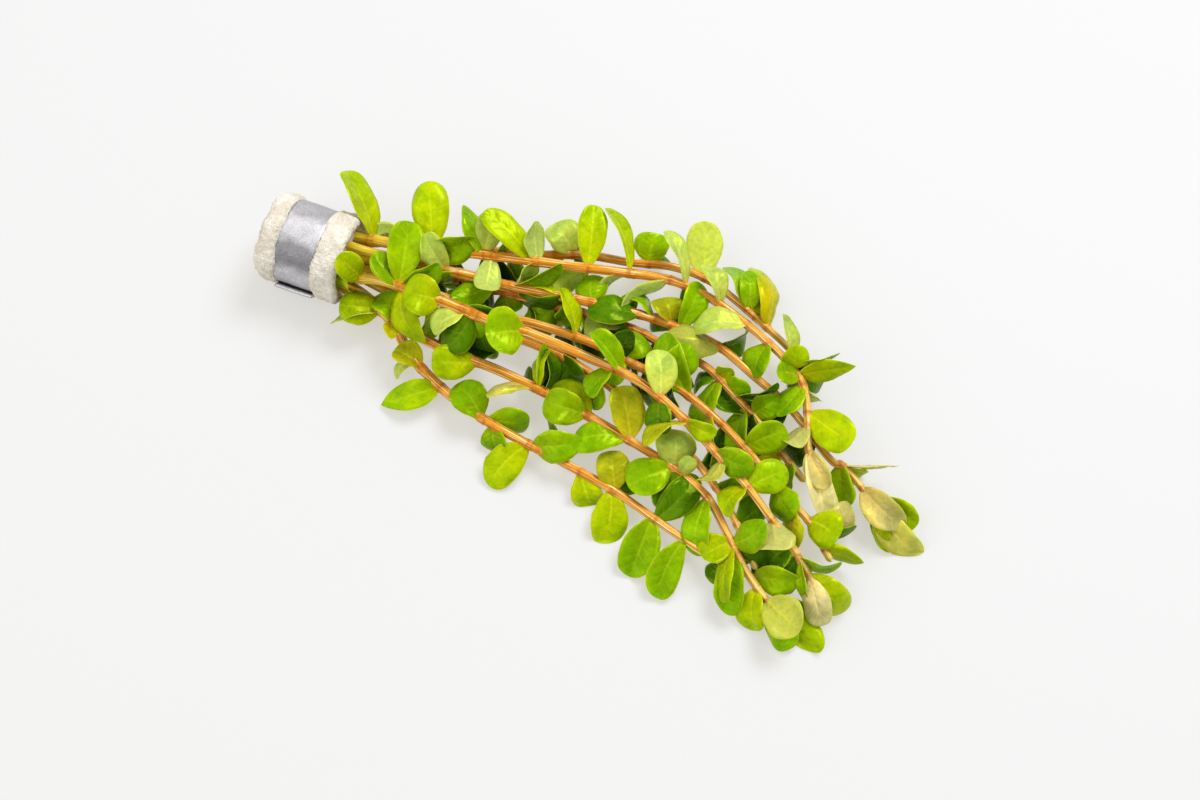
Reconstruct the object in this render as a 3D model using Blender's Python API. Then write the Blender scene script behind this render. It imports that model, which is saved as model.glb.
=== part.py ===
"""A bunch of cut rotala shoots that lies on a surface, its cut ends in a foam sleeve under a lead strip.

Metres, +Z up. The origin is the middle of the strip's flat underside. +X runs along the sleeve to the tips.
"""

import math
from typing import NamedTuple

import bpy
from mathutils import Matrix, Vector
from mathutils.bvhtree import BVHTree

MM = 0.001
GAP = 0.3 * MM
SMOOTH_BELOW = math.radians(50)

# The sleeve and the strip round it, which lie along X
AXIS_HEIGHT = 10.85 * MM
STRIP_WIDTH = 10.5 * MM
STRIP_RADIUS = 11.05 * MM
STRIP_THICKNESS = 1.0 * MM
STRIP_START = math.radians(235)  # from +Y over the top
STRIP_LAP = math.radians(37)
STRIP_CLIMB = math.radians(30)  # the turn in which the strip rises onto its own start
STRIP_LAP_GAP = 0.12 * MM
STRIP_STAND_OFF = 0.6 * MM  # more at the free end
STRIP_STEPS = 36
STRIP_PRESSED = 0.3 * MM  # the soft lead is pressed flat where it would be lower than this
FOAM_LEFT = -11.0 * MM
FOAM_RIGHT = 12.2 * MM
FOAM_RADIUS = 12.0 * MM
FOAM_WAIST_RADIUS = STRIP_RADIUS - STRIP_THICKNESS - GAP
FOAM_LIP = 0.9 * MM  # beside the strip, where the foam swells back out
FOAM_DIP = 0.3 * MM  # less than the full radius at the lip
FOAM_SWELL = 3.4 * MM  # from the strip to the full radius on the right
FOAM_END_LENGTH = 3.2 * MM  # the left end's rounding
FOAM_END_DEPTH = 3.6 * MM
FOAM_EDGE = 0.5 * MM  # the thin right edge's rounding
FOAM_FLOOR = 0.15 * MM  # the soft foam is pressed flat where it would touch the surface
BORE_LEFT_RADIUS = 6.2 * MM
BORE_STRIP_RADIUS = 8.5 * MM
BORE_RIGHT_RADIUS = 10.5 * MM
SLEEVE_SIDES = 22

# The cut ends stand in a ring round one shoot, just inside the sleeve's left end
CUT_ENDS = -10.5 * MM
RING_RADIUS = 4.25 * MM

# The shoots were drawn over a picture of the bunch, so their points are its pixels. This is how it was seen.
PICTURE_MIDDLE = (600, 400)
FOCAL_LENGTH = 2000  # pixels
VIEW_TURN = math.radians(20)
VIEW_RISE = math.radians(70)
VIEW_DISTANCE = 510 * MM
VIEW_TARGET = Vector((85.6, -13.2, 8.0)) * MM

TO_RIGHT = Vector((math.cos(VIEW_TURN), math.sin(VIEW_TURN), 0))
TO_VIEWER = Vector((
    math.sin(VIEW_TURN) * math.cos(VIEW_RISE),
    -math.cos(VIEW_TURN) * math.cos(VIEW_RISE),
    math.sin(VIEW_RISE),
))
TO_TOP = TO_VIEWER.cross(TO_RIGHT)
VIEWER = VIEW_TARGET + TO_VIEWER * VIEW_DISTANCE

# Stems and leaves
STEM_SIDES = 5
STEM_STEP = 10.5 * MM
LEAF_BASE_STEP = STEM_STEP / 10  # between the places on a stem where a leaf can grow
BARE_TIP_STEPS = 3  # of these at the stem's very end, so that each leaf grows from inside the stem
LEAF_LOW_WIDTH = 1.15  # a power: over 1 puts the widest place past the leaf's middle
LEAF_ROUNDNESS = 0.62  # a power: 1 gives a pointed leaf, less a rounder one
BROAD_LEAF = 9  # mm wide
BROAD_SECTIONS = (0.2, 0.45, 0.72, 0.93)  # shares of a leaf's length
NARROW_SECTIONS = (0.22, 0.55, 0.9)
BLADE_THICKNESS = 0.55 * MM
SURFACE_CLEARANCE = 0.2 * MM


class Leaf(NamedTuple):
    """A leaf from its place on the stem to its tip, in pixels. Unless it is turned, it faces the viewer."""

    base_across: float
    base_down: float
    tip_across: float
    tip_down: float
    rise: float  # mm from base to tip
    width: float  # mm
    turn: float = 0  # degrees about its length, and 180 shows the pale underside
    fold: float = 25  # degrees that the two halves are folded up
    bend: float = 25  # degrees that the blade arches over, from base to tip


class Shoot(NamedTuple):
    """A stem's place in the ring of cut ends, its radii in mm, its line as (across, down, height in mm),
    and its leaves.
    """

    ring: float  # degrees from +Y over the top, or None in the middle
    base_radius: float
    tip_radius: float
    line: tuple
    leaves: tuple


SHOOTS = {
    "shoot_1": Shoot(
        ring=22.5,
        base_radius=1.45,
        tip_radius=0.85,
        line=(
            (346, 234, 14.2), (390, 243, 15), (445, 250, 15.6), (500, 256.5, 15.8), (562, 265, 15.5),
            (620, 272, 15), (670, 280, 14.5), (710, 298, 14), (750, 327, 13), (785, 359, 11.8),
            (803, 385, 11.2), (808, 420, 10.8), (808, 445, 10.2), (812, 462, 9),
        ),
        leaves=(
            Leaf(375, 231, 345, 171, 4, 8.5, 20, 20, 40),
            Leaf(373, 231, 394, 230, -2, 5.5, 205),
            Leaf(435, 241, 429, 181, 4, 9, 0, 35),
            Leaf(433, 234, 473, 243, -1, 8, 55),
            Leaf(485, 243, 465, 204, 4, 8, 52),
            Leaf(487, 247, 494, 213, 5, 7, 0),
            Leaf(491, 261, 485, 295, -3, 6.5, 145),
            Leaf(497, 250, 514, 227, -3, 7, 80),
            Leaf(533, 256, 484, 211, 3, 9, 25, 25, 35),
            Leaf(538, 257, 534, 221, 5, 7, 225),
            Leaf(540, 256, 518, 284, -3, 7, 115),
            Leaf(590, 262, 594, 205, 4, 8, 10),
            Leaf(587, 273, 556, 288, -4, 8, 140, 25, 45),
            Leaf(631, 266, 606, 208, 3, 7, 55, 25, 50),
            Leaf(635, 268, 600, 292, -3, 7, 112, 25, 40),
            Leaf(688, 284, 665, 231, 5, 6.5, 45, 20, 60),
            Leaf(668, 286, 617, 298, -2, 7, 112, 25, -25),
            Leaf(727, 296, 712, 263, 5, 6.5, 40, 60),
            Leaf(745, 328, 696, 320, 2, 7.5, 42, 25, 35),
            Leaf(771, 341, 752, 375, -3, 7.5, 42),
            Leaf(792, 364, 783, 314, 2, 6.5, 50),
            Leaf(798, 380, 776, 372, 4, 6, 20),
            Leaf(803, 372, 856, 366, 2, 7.5, 35),
            Leaf(803, 357, 840, 353, 3, 7, 78),
            Leaf(797, 368, 797, 352, 6, 6.5),
            Leaf(805, 384, 778, 417, -1, 8, 45, 50),
            Leaf(808, 380, 817, 404, -4, 6, 55),
            Leaf(813, 414, 851, 445, 3, 10, 0, 20),
            Leaf(812, 423, 788, 446, -2, 7, 235),
            Leaf(806, 448, 828, 488, 0, 6, 20, 30, 30),
            Leaf(813, 466, 826, 519, -4, 7.5, 0, 20, 30),
        ),
    ),
    "shoot_2": Shoot(
        ring=-22.5,
        base_radius=1.35,
        tip_radius=0.85,
        line=(
            (350, 242, 8.6), (400, 242, 8.6), (450, 247, 9), (500, 252, 9.4), (540, 255, 10),
            (585, 255, 10.5), (628, 262, 10.8), (673, 267, 10.5), (708, 280, 10), (740, 304, 9.3),
            (775, 335, 8), (792, 352, 7.2), (800, 366, 6.4),
        ),
        leaves=(
            Leaf(573, 254, 556, 223, 4, 8.5, 15, 25, 20),
            Leaf(650, 266, 656, 233, 4, 8.5, 5, 20, 40),
            Leaf(706, 272, 705, 221, 4, 9.5, 180),
            Leaf(748, 308, 737, 263, 3, 7, 40),
            Leaf(750, 310, 751, 272, 5, 6.5, -10),
            Leaf(756, 316, 759, 265, -1, 6.5, 20),
            Leaf(768, 328, 776, 273, 3, 8, 50),
        ),
    ),
    "shoot_3": Shoot(
        ring=67.5,
        base_radius=1.35,
        tip_radius=0.85,
        line=(
            (348, 246, 16), (375, 254, 15.2), (420, 264, 14), (467, 275, 13.4), (515, 287, 12.8),
            (560, 296, 12.5), (627, 311, 12), (680, 328, 11), (718, 346, 10), (755, 377, 9),
            (790, 408, 8), (830, 459, 6.4), (843, 466, 6), (865, 491, 5), (882, 507, 4.4),
        ),
        leaves=(
            Leaf(448, 264, 424, 234, 4, 7, 20),
            Leaf(509, 291, 561, 262, 7, 8, 58),
            Leaf(495, 284, 452, 300, 1, 7.5, 25, 50, -40),
            Leaf(640, 315, 592, 303, 2, 8, 35),
            Leaf(590, 303, 592, 274, -2, 8, 20),
            Leaf(668, 324, 663, 297, 2, 8, 30),
            Leaf(683, 320, 702, 285, 4, 7, 25),
            Leaf(718, 354, 670, 336, 3, 9, 212, 30, -40),
            Leaf(720, 346, 753, 334, -2, 7, 50),
            Leaf(840, 463, 845, 507, -3, 8, 38),
            Leaf(845, 461, 899, 466, 1, 5, 82, 20, 10),
            Leaf(850, 466, 862, 482, -2, 6, 20),
            Leaf(862, 490, 900, 527, 2, 8, 15),
            Leaf(884, 508, 918, 524, 0, 7, 20),
            Leaf(888, 512, 920, 556, -2, 7.5, 10),
            Leaf(866, 512, 880, 553, -4, 5.5, 30),
            Leaf(872, 503, 884, 540, -4, 6, 30),
        ),
    ),
    "shoot_4": Shoot(
        ring=None,
        base_radius=1.3,
        tip_radius=0.85,
        line=(
            (352, 258, 10), (400, 266, 8.5), (460, 280, 8.2), (520, 296, 8.6), (580, 312, 8.8),
            (635, 330, 8.6), (658, 342, 8.4), (705, 366, 8), (730, 390, 7.6), (758, 421, 7),
            (777, 448, 6.2), (789, 462, 5.6), (805, 482, 4.8),
        ),
        leaves=(
            Leaf(517, 297, 566, 310, 1, 8, 30),
            Leaf(505, 292, 510, 314, -3, 7, 20),
            Leaf(622, 326, 588, 322, 1, 8, 40),
            Leaf(720, 380, 692, 428, -2, 7, 45),
            Leaf(712, 379, 690, 383, -3, 6, 52),
            Leaf(717, 378, 732, 370, 3, 5, 30),
            Leaf(733, 376, 748, 389, 4, 6, 30),
            Leaf(735, 394, 778, 389, 1, 7, 76),
            Leaf(748, 420, 716, 388, 3, 9, 20, 60, -50),
            Leaf(752, 414, 777, 400, 3, 7, 25),
            Leaf(790, 460, 793, 490, -1, 7, 52),
        ),
    ),
    "shoot_5": Shoot(
        ring=112.5,
        base_radius=1.3,
        tip_radius=0.85,
        line=(
            (352, 266, 10.6), (400, 280, 10.4), (445, 298, 10.6), (490, 314, 11), (535, 324, 11.6),
            (590, 342, 12), (630, 362, 11.6), (672, 384, 11), (715, 418, 10.4), (750, 454, 9.6),
            (785, 497, 8.2), (808, 520, 7.2), (825, 550, 6), (831, 562, 5.4),
        ),
        leaves=(
            Leaf(577, 337, 560, 288, 4, 6.5, 55, 30, 40),
            Leaf(668, 382, 690, 345, 3, 8, 20),
            Leaf(742, 447, 787, 430, 3, 8.5, 22),
            Leaf(808, 520, 838, 539, 2, 9, 0),
            Leaf(833, 552, 864, 563, 1, 6, 50, 20, -20),
            Leaf(818, 528, 855, 512, 2, 7, 25),
            Leaf(818, 533, 858, 534, -1, 6, 55),
            Leaf(775, 487, 792, 517, -3, 8, 28),
        ),
    ),
    "shoot_6": Shoot(
        ring=157.5,
        base_radius=1.4,
        tip_radius=0.85,
        line=(
            (352, 276, 14), (385, 281, 15.5), (445, 302, 17), (490, 321, 17.6), (530, 333, 17.8),
            (590, 358.5, 17.4), (640, 382, 16.6), (685, 420, 15.2), (723, 460, 13.6), (748, 487, 12.2),
            (770, 517, 10.8), (792, 547, 9.4), (806, 570, 8), (812, 584, 7),
        ),
        leaves=(
            Leaf(400, 281, 409, 221, 6, 7, 5),
            Leaf(360, 277, 337, 256, 9, 7, 10, 25, 60),
            Leaf(403, 279, 373, 253, 4, 6, 30),
            Leaf(405, 285, 439, 268, 4, 7, 38),
            Leaf(402, 289, 414, 341, -1, 7, 30),
            Leaf(442, 303, 405, 293, 3, 10, 0, 20, 35),
            Leaf(465, 312, 431, 330, -2, 7, 38),
            Leaf(470, 314, 484, 339, -4, 6.5, 38),
            Leaf(527, 333, 485, 335, 2, 11, 0, 15, 35),
            Leaf(621, 370, 591, 332, 5, 8, 25, 70),
            Leaf(613, 372, 585, 392, -2, 7, 56),
            Leaf(661, 395, 660, 350, 5, 8.5, 10),
            Leaf(660, 397, 657, 434, -3, 7, 28),
            Leaf(687, 425, 643, 436, 0, 7, 74),
            Leaf(688, 420, 713, 436, 2, 6, 30),
            Leaf(718, 450, 751, 470, 3, 7, 30),
            Leaf(724, 459, 703, 488, 1, 6, 235),
            Leaf(752, 485, 787, 470, 3, 9, 0),
            Leaf(748, 487, 722, 511, 0, 6.5, 52),
            Leaf(772, 519, 777, 550, 3, 9.5, 180, 10),
            Leaf(797, 553, 838, 572, 1, 7, 64),
            Leaf(800, 560, 803, 600, -2, 6, 55),
            Leaf(790, 548, 768, 566, -3, 7.5, 20),
            Leaf(812, 582, 820, 626, -2, 6.5, 20, 30, 40),
            Leaf(818, 583, 842, 615, -1, 8, 20, 25, 45),
        ),
    ),
    "shoot_7": Shoot(
        ring=292.5,
        base_radius=1.3,
        tip_radius=0.8,
        line=(
            (352, 272, 6), (400, 297, 5.8), (460, 322, 6.6), (533, 344, 7.6), (595, 376, 8),
            (650, 420, 8), (693, 458, 7.6), (722, 497, 6.8), (742, 535, 5.6), (752, 560, 4.9),
            (757, 570, 4.6),
        ),
        leaves=(
            Leaf(560, 357, 580, 386, -2, 8, 20),
            Leaf(598, 378, 592, 409, -1, 6, 55),
            Leaf(715, 487, 740, 491, 1, 7, 30),
            Leaf(738, 525, 764, 503, 0, 8, 20),
        ),
    ),
    "shoot_8": Shoot(
        ring=202.5,
        base_radius=1.35,
        tip_radius=0.85,
        line=(
            (348, 290, 8), (362, 296, 8.6), (400, 325, 9), (445, 349, 9), (500, 371, 9),
            (548, 394, 8.6), (590, 417, 8.4), (624, 437, 8), (672, 467, 7.6), (707, 497, 7),
            (727, 533, 6.6), (746, 571, 6.2), (766, 600, 5.2), (776, 611, 4.6),
        ),
        leaves=(
            Leaf(352, 292, 341, 252, 11, 8, -30, 20, 100),
            Leaf(380, 310, 339, 306, 2, 8.5, 10),
            Leaf(380, 314, 330, 324, -3, 6.5, 68),
            Leaf(398, 322, 378, 292, 1, 7.5, 20),
            Leaf(479, 364, 431, 361, 3, 9, 0, 25, 35),
            Leaf(538, 388, 549, 345, 3, 6.5, 58),
            Leaf(537, 387, 542, 350, 5, 5.5, -58),
            Leaf(545, 392, 556, 351, 0, 7, 66),
            Leaf(530, 391, 487, 389, 1, 6.5, 60),
            Leaf(588, 413, 545, 402, 3, 8.5, 0, 20, 40),
            Leaf(590, 414, 556, 380, -1, 8.5, 20),
            Leaf(633, 436, 620, 386, 4, 8.5, 15),
            Leaf(624, 444, 574, 441, 1, 7.5, 22),
            Leaf(670, 469, 629, 485, 1, 9, 10),
            Leaf(674, 466, 675, 434, 6, 9.5, 0),
            Leaf(704, 500, 692, 552, -1, 8.5, 28),
            Leaf(735, 538, 785, 553, 2, 9, 20),
            Leaf(738, 541, 768, 527, 3, 7.5, 28),
            Leaf(728, 545, 722, 600, 2, 6.5, 45),
            Leaf(734, 552, 732, 616, -1, 8, 5, 30),
            Leaf(729, 541, 702, 557, -2, 8, 20),
            Leaf(749, 590, 753, 631, -3, 8, 32, 50),
            Leaf(775, 609, 803, 634, 1, 9.5, 180, 20, -20),
            Leaf(776, 612, 788, 650, -4, 7.5, 20),
            Leaf(778, 612, 822, 650, -2, 8.5, 12),
            Leaf(772, 602, 813, 622, -2, 8, 28),
        ),
    ),
    "shoot_9": Shoot(
        ring=247.5,
        base_radius=1.35,
        tip_radius=0.85,
        line=(
            (348, 284, 4.5), (375, 304, 4.4), (396, 328, 4.8), (408, 352, 5), (430, 377, 5.4),
            (460, 403, 5.6), (500, 429, 5.6), (555, 458, 5.2), (611, 489, 4.8), (652, 517, 4.6),
            (700, 550, 4), (728, 565, 3.2), (745, 573, 2.8), (765, 580, 2.6),
        ),
        leaves=(
            Leaf(422, 366, 394, 350, 2, 6.5, 20, 40),
            Leaf(414, 362, 393, 375, -2, 4, 50),
            Leaf(433, 394, 381, 405, -4.5, 7, 10),
            Leaf(482, 418, 458, 384, 4, 8.5, 5),
            Leaf(486, 420, 529, 426, -1, 7.5, 28),
            Leaf(491, 427, 499, 454, -3, 7, 30),
            Leaf(529, 445, 489, 486, -4.5, 9.5, 5, 15),
            Leaf(534, 444, 579, 445, 3, 8, 15),
            Leaf(540, 448, 554, 421, 2, 4.5, 62, 20, 60),
            Leaf(579, 470, 592, 511, -4, 8.5, 10),
            Leaf(614, 489, 611, 452, 4, 8, 0),
            Leaf(609, 491, 603, 545, -4, 8.5, 0),
            Leaf(657, 519, 697, 477, 2, 9, 10),
            Leaf(651, 520, 630, 577, -3.9, 9.2, 0),
            Leaf(681, 541, 656, 598, -3.5, 8.5, 0),
            Leaf(728, 566, 706, 576, -1, 6, 30),
            Leaf(757, 582, 798, 581, 4, 8, 15),
        ),
    ),
}
# The shoots whose leaves show most come first.
PLACING_ORDER = (
    "shoot_6", "shoot_1", "shoot_3", "shoot_8", "shoot_9", "shoot_5", "shoot_2", "shoot_4", "shoot_7",
)

# Changes tried on a leaf that would meet another, the least first: mm of rise, degrees of turn
RISES = (0, 1, -1, 2, -2, 3, -3, 4.5, -4.5, 6, -6, 8, -8)
TURNS = (0, 15, -15, 30, -30, 50, -50)
DEGREES_FOR_A_MM = 12  # so much turn changes a leaf as much as a millimetre of rise
TRIES = sorted(
    ((rise, turn) for rise in RISES for turn in TURNS),
    key=lambda change: abs(change[0]) + abs(change[1]) / DEGREES_FOR_A_MM,
)

# Leaves that nearer ones cover
HIDDEN_LEAF = Leaf(0, 0, 0, 0, 0, width=7)
HIDDEN_LENGTH = 11 * MM
HIDDEN_LEAN = 0.4  # of the leaf's own direction, along the stem
HIDDEN_ANGLES = range(0, 181, 30)  # about the stem, on the side away from the viewer
HIDDEN_SHARE = 0.85  # of the leaf that has to be covered


def remove_everything():
    for found in list(bpy.data.objects):
        bpy.data.objects.remove(found)


def material(name, colour, roughness, metallic=0.0):
    made = bpy.data.materials.new(name)
    made.use_nodes = True
    shader = made.node_tree.nodes["Principled BSDF"]
    shader.inputs["Base Color"].default_value = (*colour, 1)
    shader.inputs["Roughness"].default_value = roughness
    shader.inputs["Metallic"].default_value = metallic
    return made


def mesh_object(name, points, faces, *materials, hidden=False):
    mesh = bpy.data.meshes.new(name)
    mesh.from_pydata(points, [], faces)
    made = bpy.data.objects.new(name, mesh)
    for each in materials:
        mesh.materials.append(each)
    mesh.shade_smooth()
    mesh.set_sharp_from_angle(angle=SMOOTH_BELOW)
    made.hide_render = hidden
    if hidden:
        made.display_type = "WIRE"
    return made


def in_scene(made):
    bpy.context.scene.collection.objects.link(made)
    return made


def at_height(across, down, height):
    """The point at this height, in metres, that the picture shows at these pixels."""
    ray = (
        TO_RIGHT * (across - PICTURE_MIDDLE[0])
        + TO_TOP * (PICTURE_MIDDLE[1] - down)
        - TO_VIEWER * FOCAL_LENGTH
    )
    return VIEWER + ray * ((height - VIEWER.z) / ray.z)


def round_the_axis(x, angle, radius):
    """A point round the sleeve's axis, at an angle from +Y over the top."""
    return Vector((x, radius * math.cos(angle), AXIS_HEIGHT + radius * math.sin(angle)))


# The sleeve and the strip


def turned_shell(name, profile, finish):
    """A ring round the sleeve's axis from a closed profile of (x, radius)."""
    points, faces = [], []
    count = len(profile)
    for side in range(SLEEVE_SIDES):
        angle = 2 * math.pi * side / SLEEVE_SIDES
        points += [round_the_axis(x, angle, radius) for x, radius in profile]
        after = (side + 1) % SLEEVE_SIDES
        for i in range(count):
            j = (i + 1) % count
            faces.append((side * count + i, after * count + i, after * count + j, side * count + j))
    return mesh_object(name, points, faces, finish)


def foam_sleeve():
    strip_end = STRIP_WIDTH / 2
    rounding = [
        (
            FOAM_LEFT + FOAM_END_LENGTH * (1 - math.cos(math.radians(angle))),
            FOAM_RADIUS - FOAM_END_DEPTH * (1 - math.sin(math.radians(angle))),
        )
        for angle in (0, 45, 90)
    ]
    profile = [
        (FOAM_LEFT, BORE_LEFT_RADIUS),
        *rounding,
        (-strip_end - FOAM_LIP, FOAM_RADIUS - FOAM_DIP),
        (-strip_end - GAP, FOAM_WAIST_RADIUS),
        (strip_end + GAP, FOAM_WAIST_RADIUS),
        (strip_end + FOAM_LIP, FOAM_RADIUS - FOAM_DIP),
        (strip_end + FOAM_SWELL, FOAM_RADIUS),
        (FOAM_RIGHT - FOAM_EDGE, FOAM_RADIUS - FOAM_EDGE),
        (FOAM_RIGHT, (FOAM_RADIUS + BORE_RIGHT_RADIUS) / 2),
        (FOAM_RIGHT - FOAM_EDGE, BORE_RIGHT_RADIUS),
        (strip_end, BORE_STRIP_RADIUS),
        (-strip_end / 2, BORE_LEFT_RADIUS),
    ]
    foam = material("cream foam", (0.82, 0.78, 0.68), 0.95)
    sleeve = in_scene(turned_shell("foam_sleeve", profile, foam))
    for vertex in sleeve.data.vertices:
        vertex.co.z = max(vertex.co.z, FOAM_FLOOR)
    return sleeve


def strip_radius(turned):
    """The strip's outer radius once it has turned this far. It climbs onto its start and stands off there."""
    lap = turned - 2 * math.pi
    if lap < -STRIP_CLIMB:
        return STRIP_RADIUS
    over = STRIP_RADIUS + STRIP_THICKNESS + STRIP_LAP_GAP
    if lap < 0:
        return over + (STRIP_RADIUS - over) * -lap / STRIP_CLIMB
    return over + STRIP_STAND_OFF * (lap / STRIP_LAP) ** 2


def weight_strip():
    """A strip that goes once round the foam and laps its start, its free end low on the viewer's side."""
    turns = 2 * math.pi + STRIP_LAP
    corners = (
        (-STRIP_WIDTH / 2, STRIP_THICKNESS),
        (-STRIP_WIDTH / 2, 0),
        (STRIP_WIDTH / 2, 0),
        (STRIP_WIDTH / 2, STRIP_THICKNESS),
    )
    points, faces = [], []
    for step in range(STRIP_STEPS + 1):
        turned = turns * step / STRIP_STEPS
        for x, depth in corners:
            point = round_the_axis(x, STRIP_START - turned, strip_radius(turned) - depth)
            if point.z < STRIP_PRESSED:
                point.z = 0.0
            points.append(point)
    for step in range(STRIP_STEPS):
        near, far = 4 * step, 4 * step + 4
        for i in range(4):
            j = (i + 1) % 4
            faces.append((near + i, near + j, far + j, far + i))
    last = 4 * STRIP_STEPS
    faces.append((3, 2, 1, 0))
    faces.append((last, last + 1, last + 2, last + 3))
    lead = material("grey lead", (0.4, 0.4, 0.41), 0.5, 0.8)
    return in_scene(mesh_object("weight_strip", points, faces, lead))


# Stems and leaves


def smooth_line(points, step):
    """Points about a step apart on a smooth curve through the given ones."""
    found = []
    padded = [2 * points[0] - points[1], *points, 2 * points[-1] - points[-2]]
    for before, start, end, after in zip(padded, padded[1:], padded[2:], padded[3:]):
        parts = max(1, round((end - start).length / step))
        for part in range(parts):
            t = part / parts
            found.append(0.5 * (
                2 * start
                + (end - before) * t
                + (2 * before - 5 * start + 4 * end - after) * t**2
                + (3 * start - before - 3 * end + after) * t**3
            ))
    return [*found, points[-1]]


def stem_line(shoot, step=STEM_STEP):
    radius = 0 if shoot.ring is None else RING_RADIUS
    ring = math.radians(shoot.ring or 0)
    start = [round_the_axis(CUT_ENDS, ring, radius), round_the_axis(CUT_ENDS / 3, ring, radius)]
    return smooth_line(start + [at_height(a, d, h * MM) for a, d, h in shoot.line], step)


def tube(line, first_radius, last_radius, sides=STEM_SIDES):
    """The points and faces of a closed tube along a line, its radius running from the first to the last."""
    points, faces = [], []
    across = Vector((0, 0, 1))
    for i, centre in enumerate(line):
        along = (line[min(i + 1, len(line) - 1)] - line[max(i - 1, 0)]).normalized()
        across = (across - along * across.dot(along)).normalized()
        other = along.cross(across)
        radius = first_radius + (last_radius - first_radius) * i / (len(line) - 1)
        for side in range(sides):
            angle = 2 * math.pi * side / sides
            points.append(centre + (across * math.cos(angle) + other * math.sin(angle)) * radius)
    for i in range(len(line) - 1):
        for side in range(sides):
            after = (side + 1) % sides
            faces.append((
                i * sides + side, i * sides + after, (i + 1) * sides + after, (i + 1) * sides + side,
            ))
    faces.append(tuple(reversed(range(sides))))
    faces.append(tuple(range((len(line) - 1) * sides, len(line) * sides)))
    return points, faces


def nearest_on(line, across, down):
    """The point of a line that the picture shows nearest to these pixels."""
    best, best_distance = None, math.inf
    for point in line:
        away = (at_height(across, down, point.z) - point).length
        if away < best_distance:
            best, best_distance = point, away
    return best


def half_width(share, width):
    return width / 2 * math.sin(math.pi * share**LEAF_LOW_WIDTH) ** LEAF_ROUNDNESS


def blade(base, tip, leaf, turn, spare=0.0, skipped=0):
    """A leaf's points and faces: lens-shaped sections between its base and its tip.

    Spare makes it that much bigger all round. Skipped leaves out that many sections next to the stem.
    """
    along = (tip - base).normalized()
    length = (tip - base).length + spare
    facing = (TO_VIEWER - along * TO_VIEWER.dot(along)).normalized()
    facing = Matrix.Rotation(math.radians(turn), 3, along) @ facing
    side = facing.cross(along)
    arch = length / 2 * math.tan(math.radians(leaf.bend) / 4)
    fold = math.radians(leaf.fold / 2)
    half = BLADE_THICKNESS / 2 + spare

    def middle(share):
        return base + along * (length * share) + facing * (arch * 4 * share * (1 - share))

    sections = (BROAD_SECTIONS if leaf.width >= BROAD_LEAF else NARROW_SECTIONS)[skipped:]
    points = [middle(sections[0] / 2 if skipped else 0.0)]
    for share in sections:
        centre = middle(share)
        reach = half_width(share, leaf.width * MM) + spare
        out = side * (reach * math.cos(fold))
        up = facing * (reach * math.sin(fold))
        points += [centre - out + up, centre + facing * half, centre + out + up, centre - facing * half]
    points.append(middle(1.0))
    last = len(points) - 1
    faces = []
    for i in range(4):
        j = (i + 1) % 4
        faces.append((0, 1 + j, 1 + i))
        for section in range(len(sections) - 1):
            near = 1 + 4 * section
            faces.append((near + i, near + j, near + 4 + j, near + 4 + i))
        faces.append((last, last - 4 + i, last - 4 + j))
    return points, faces


def tree_of(points, faces):
    return BVHTree.FromPolygons(points, faces)


class Placing:
    """Leaves already placed, and what a new one has to stay clear of."""

    def __init__(self, holders):
        self.holders = [
            tree_of([vertex.co for vertex in mesh.vertices], [face.vertices for face in mesh.polygons])
            for mesh in (holder.data for holder in holders)
        ]
        self.stems = {}
        self.lines = {}
        for name, shoot in SHOOTS.items():
            tube_mesh = tube(stem_line(shoot), shoot.base_radius * MM + GAP, shoot.tip_radius * MM + GAP)
            self.stems[name] = tree_of(*tube_mesh)
            self.lines[name] = stem_line(shoot, LEAF_BASE_STEP)[:-BARE_TIP_STEPS]
        self.placed = []  # (shoot's name, tree)
        self.leaves = {name: [] for name in SHOOTS}

    def is_clear(self, name, base, tip, leaf, turn):
        whole = blade(base, tip, leaf, turn, GAP)
        if min(point.z for point in whole[0]) < SURFACE_CLEARANCE:
            return False
        tree = tree_of(*whole)
        outer = tree_of(*blade(base, tip, leaf, turn, GAP, skipped=1))
        if any(holder.overlap(tree) for holder in self.holders):
            return False
        if any(stem.overlap(outer if owner == name else tree) for owner, stem in self.stems.items()):
            return False
        return not any(other.overlap(outer if owner == name else tree) for owner, other in self.placed)

    def place(self, name, base, tip, leaf, turn):
        mesh = blade(base, tip, leaf, turn)
        self.placed.append((name, tree_of(*mesh)))
        self.leaves[name].append(mesh)

    def place_drawn(self, name, leaf):
        """Places a leaf of the picture, lifted, lowered or turned as little as clears it of the others."""
        base = nearest_on(self.lines[name], leaf.base_across, leaf.base_down)
        for rise, turn in TRIES:
            tip = at_height(leaf.tip_across, leaf.tip_down, base.z + (leaf.rise + rise) * MM)
            if self.is_clear(name, base, tip, leaf, leaf.turn + turn):
                self.place(name, base, tip, leaf, leaf.turn + turn)
                return

    def place_hidden(self, name, leaf):
        """Places a second leaf beside a drawn one, where there is room and nearer leaves cover it."""
        line = self.lines[name]
        base = nearest_on(line, leaf.base_across, leaf.base_down)
        at = line.index(base)
        along = (line[min(at + 1, len(line) - 1)] - line[max(at - 1, 0)]).normalized()
        across = along.cross(TO_VIEWER).normalized()
        for angle in HIDDEN_ANGLES:
            out = Matrix.Rotation(math.radians(angle), 3, along) @ across
            tip = base + (out + along * HIDDEN_LEAN).normalized() * HIDDEN_LENGTH
            if not self.is_clear(name, base, tip, HIDDEN_LEAF, 0):
                continue
            points = blade(base, tip, HIDDEN_LEAF, 0, skipped=1)[0]
            covered = sum(
                any(tree.ray_cast(point + TO_VIEWER * GAP, TO_VIEWER)[0] for _, tree in self.placed)
                for point in points
            )
            if covered >= HIDDEN_SHARE * len(points):
                self.place(name, base, tip, HIDDEN_LEAF, 0)
                return


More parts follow.
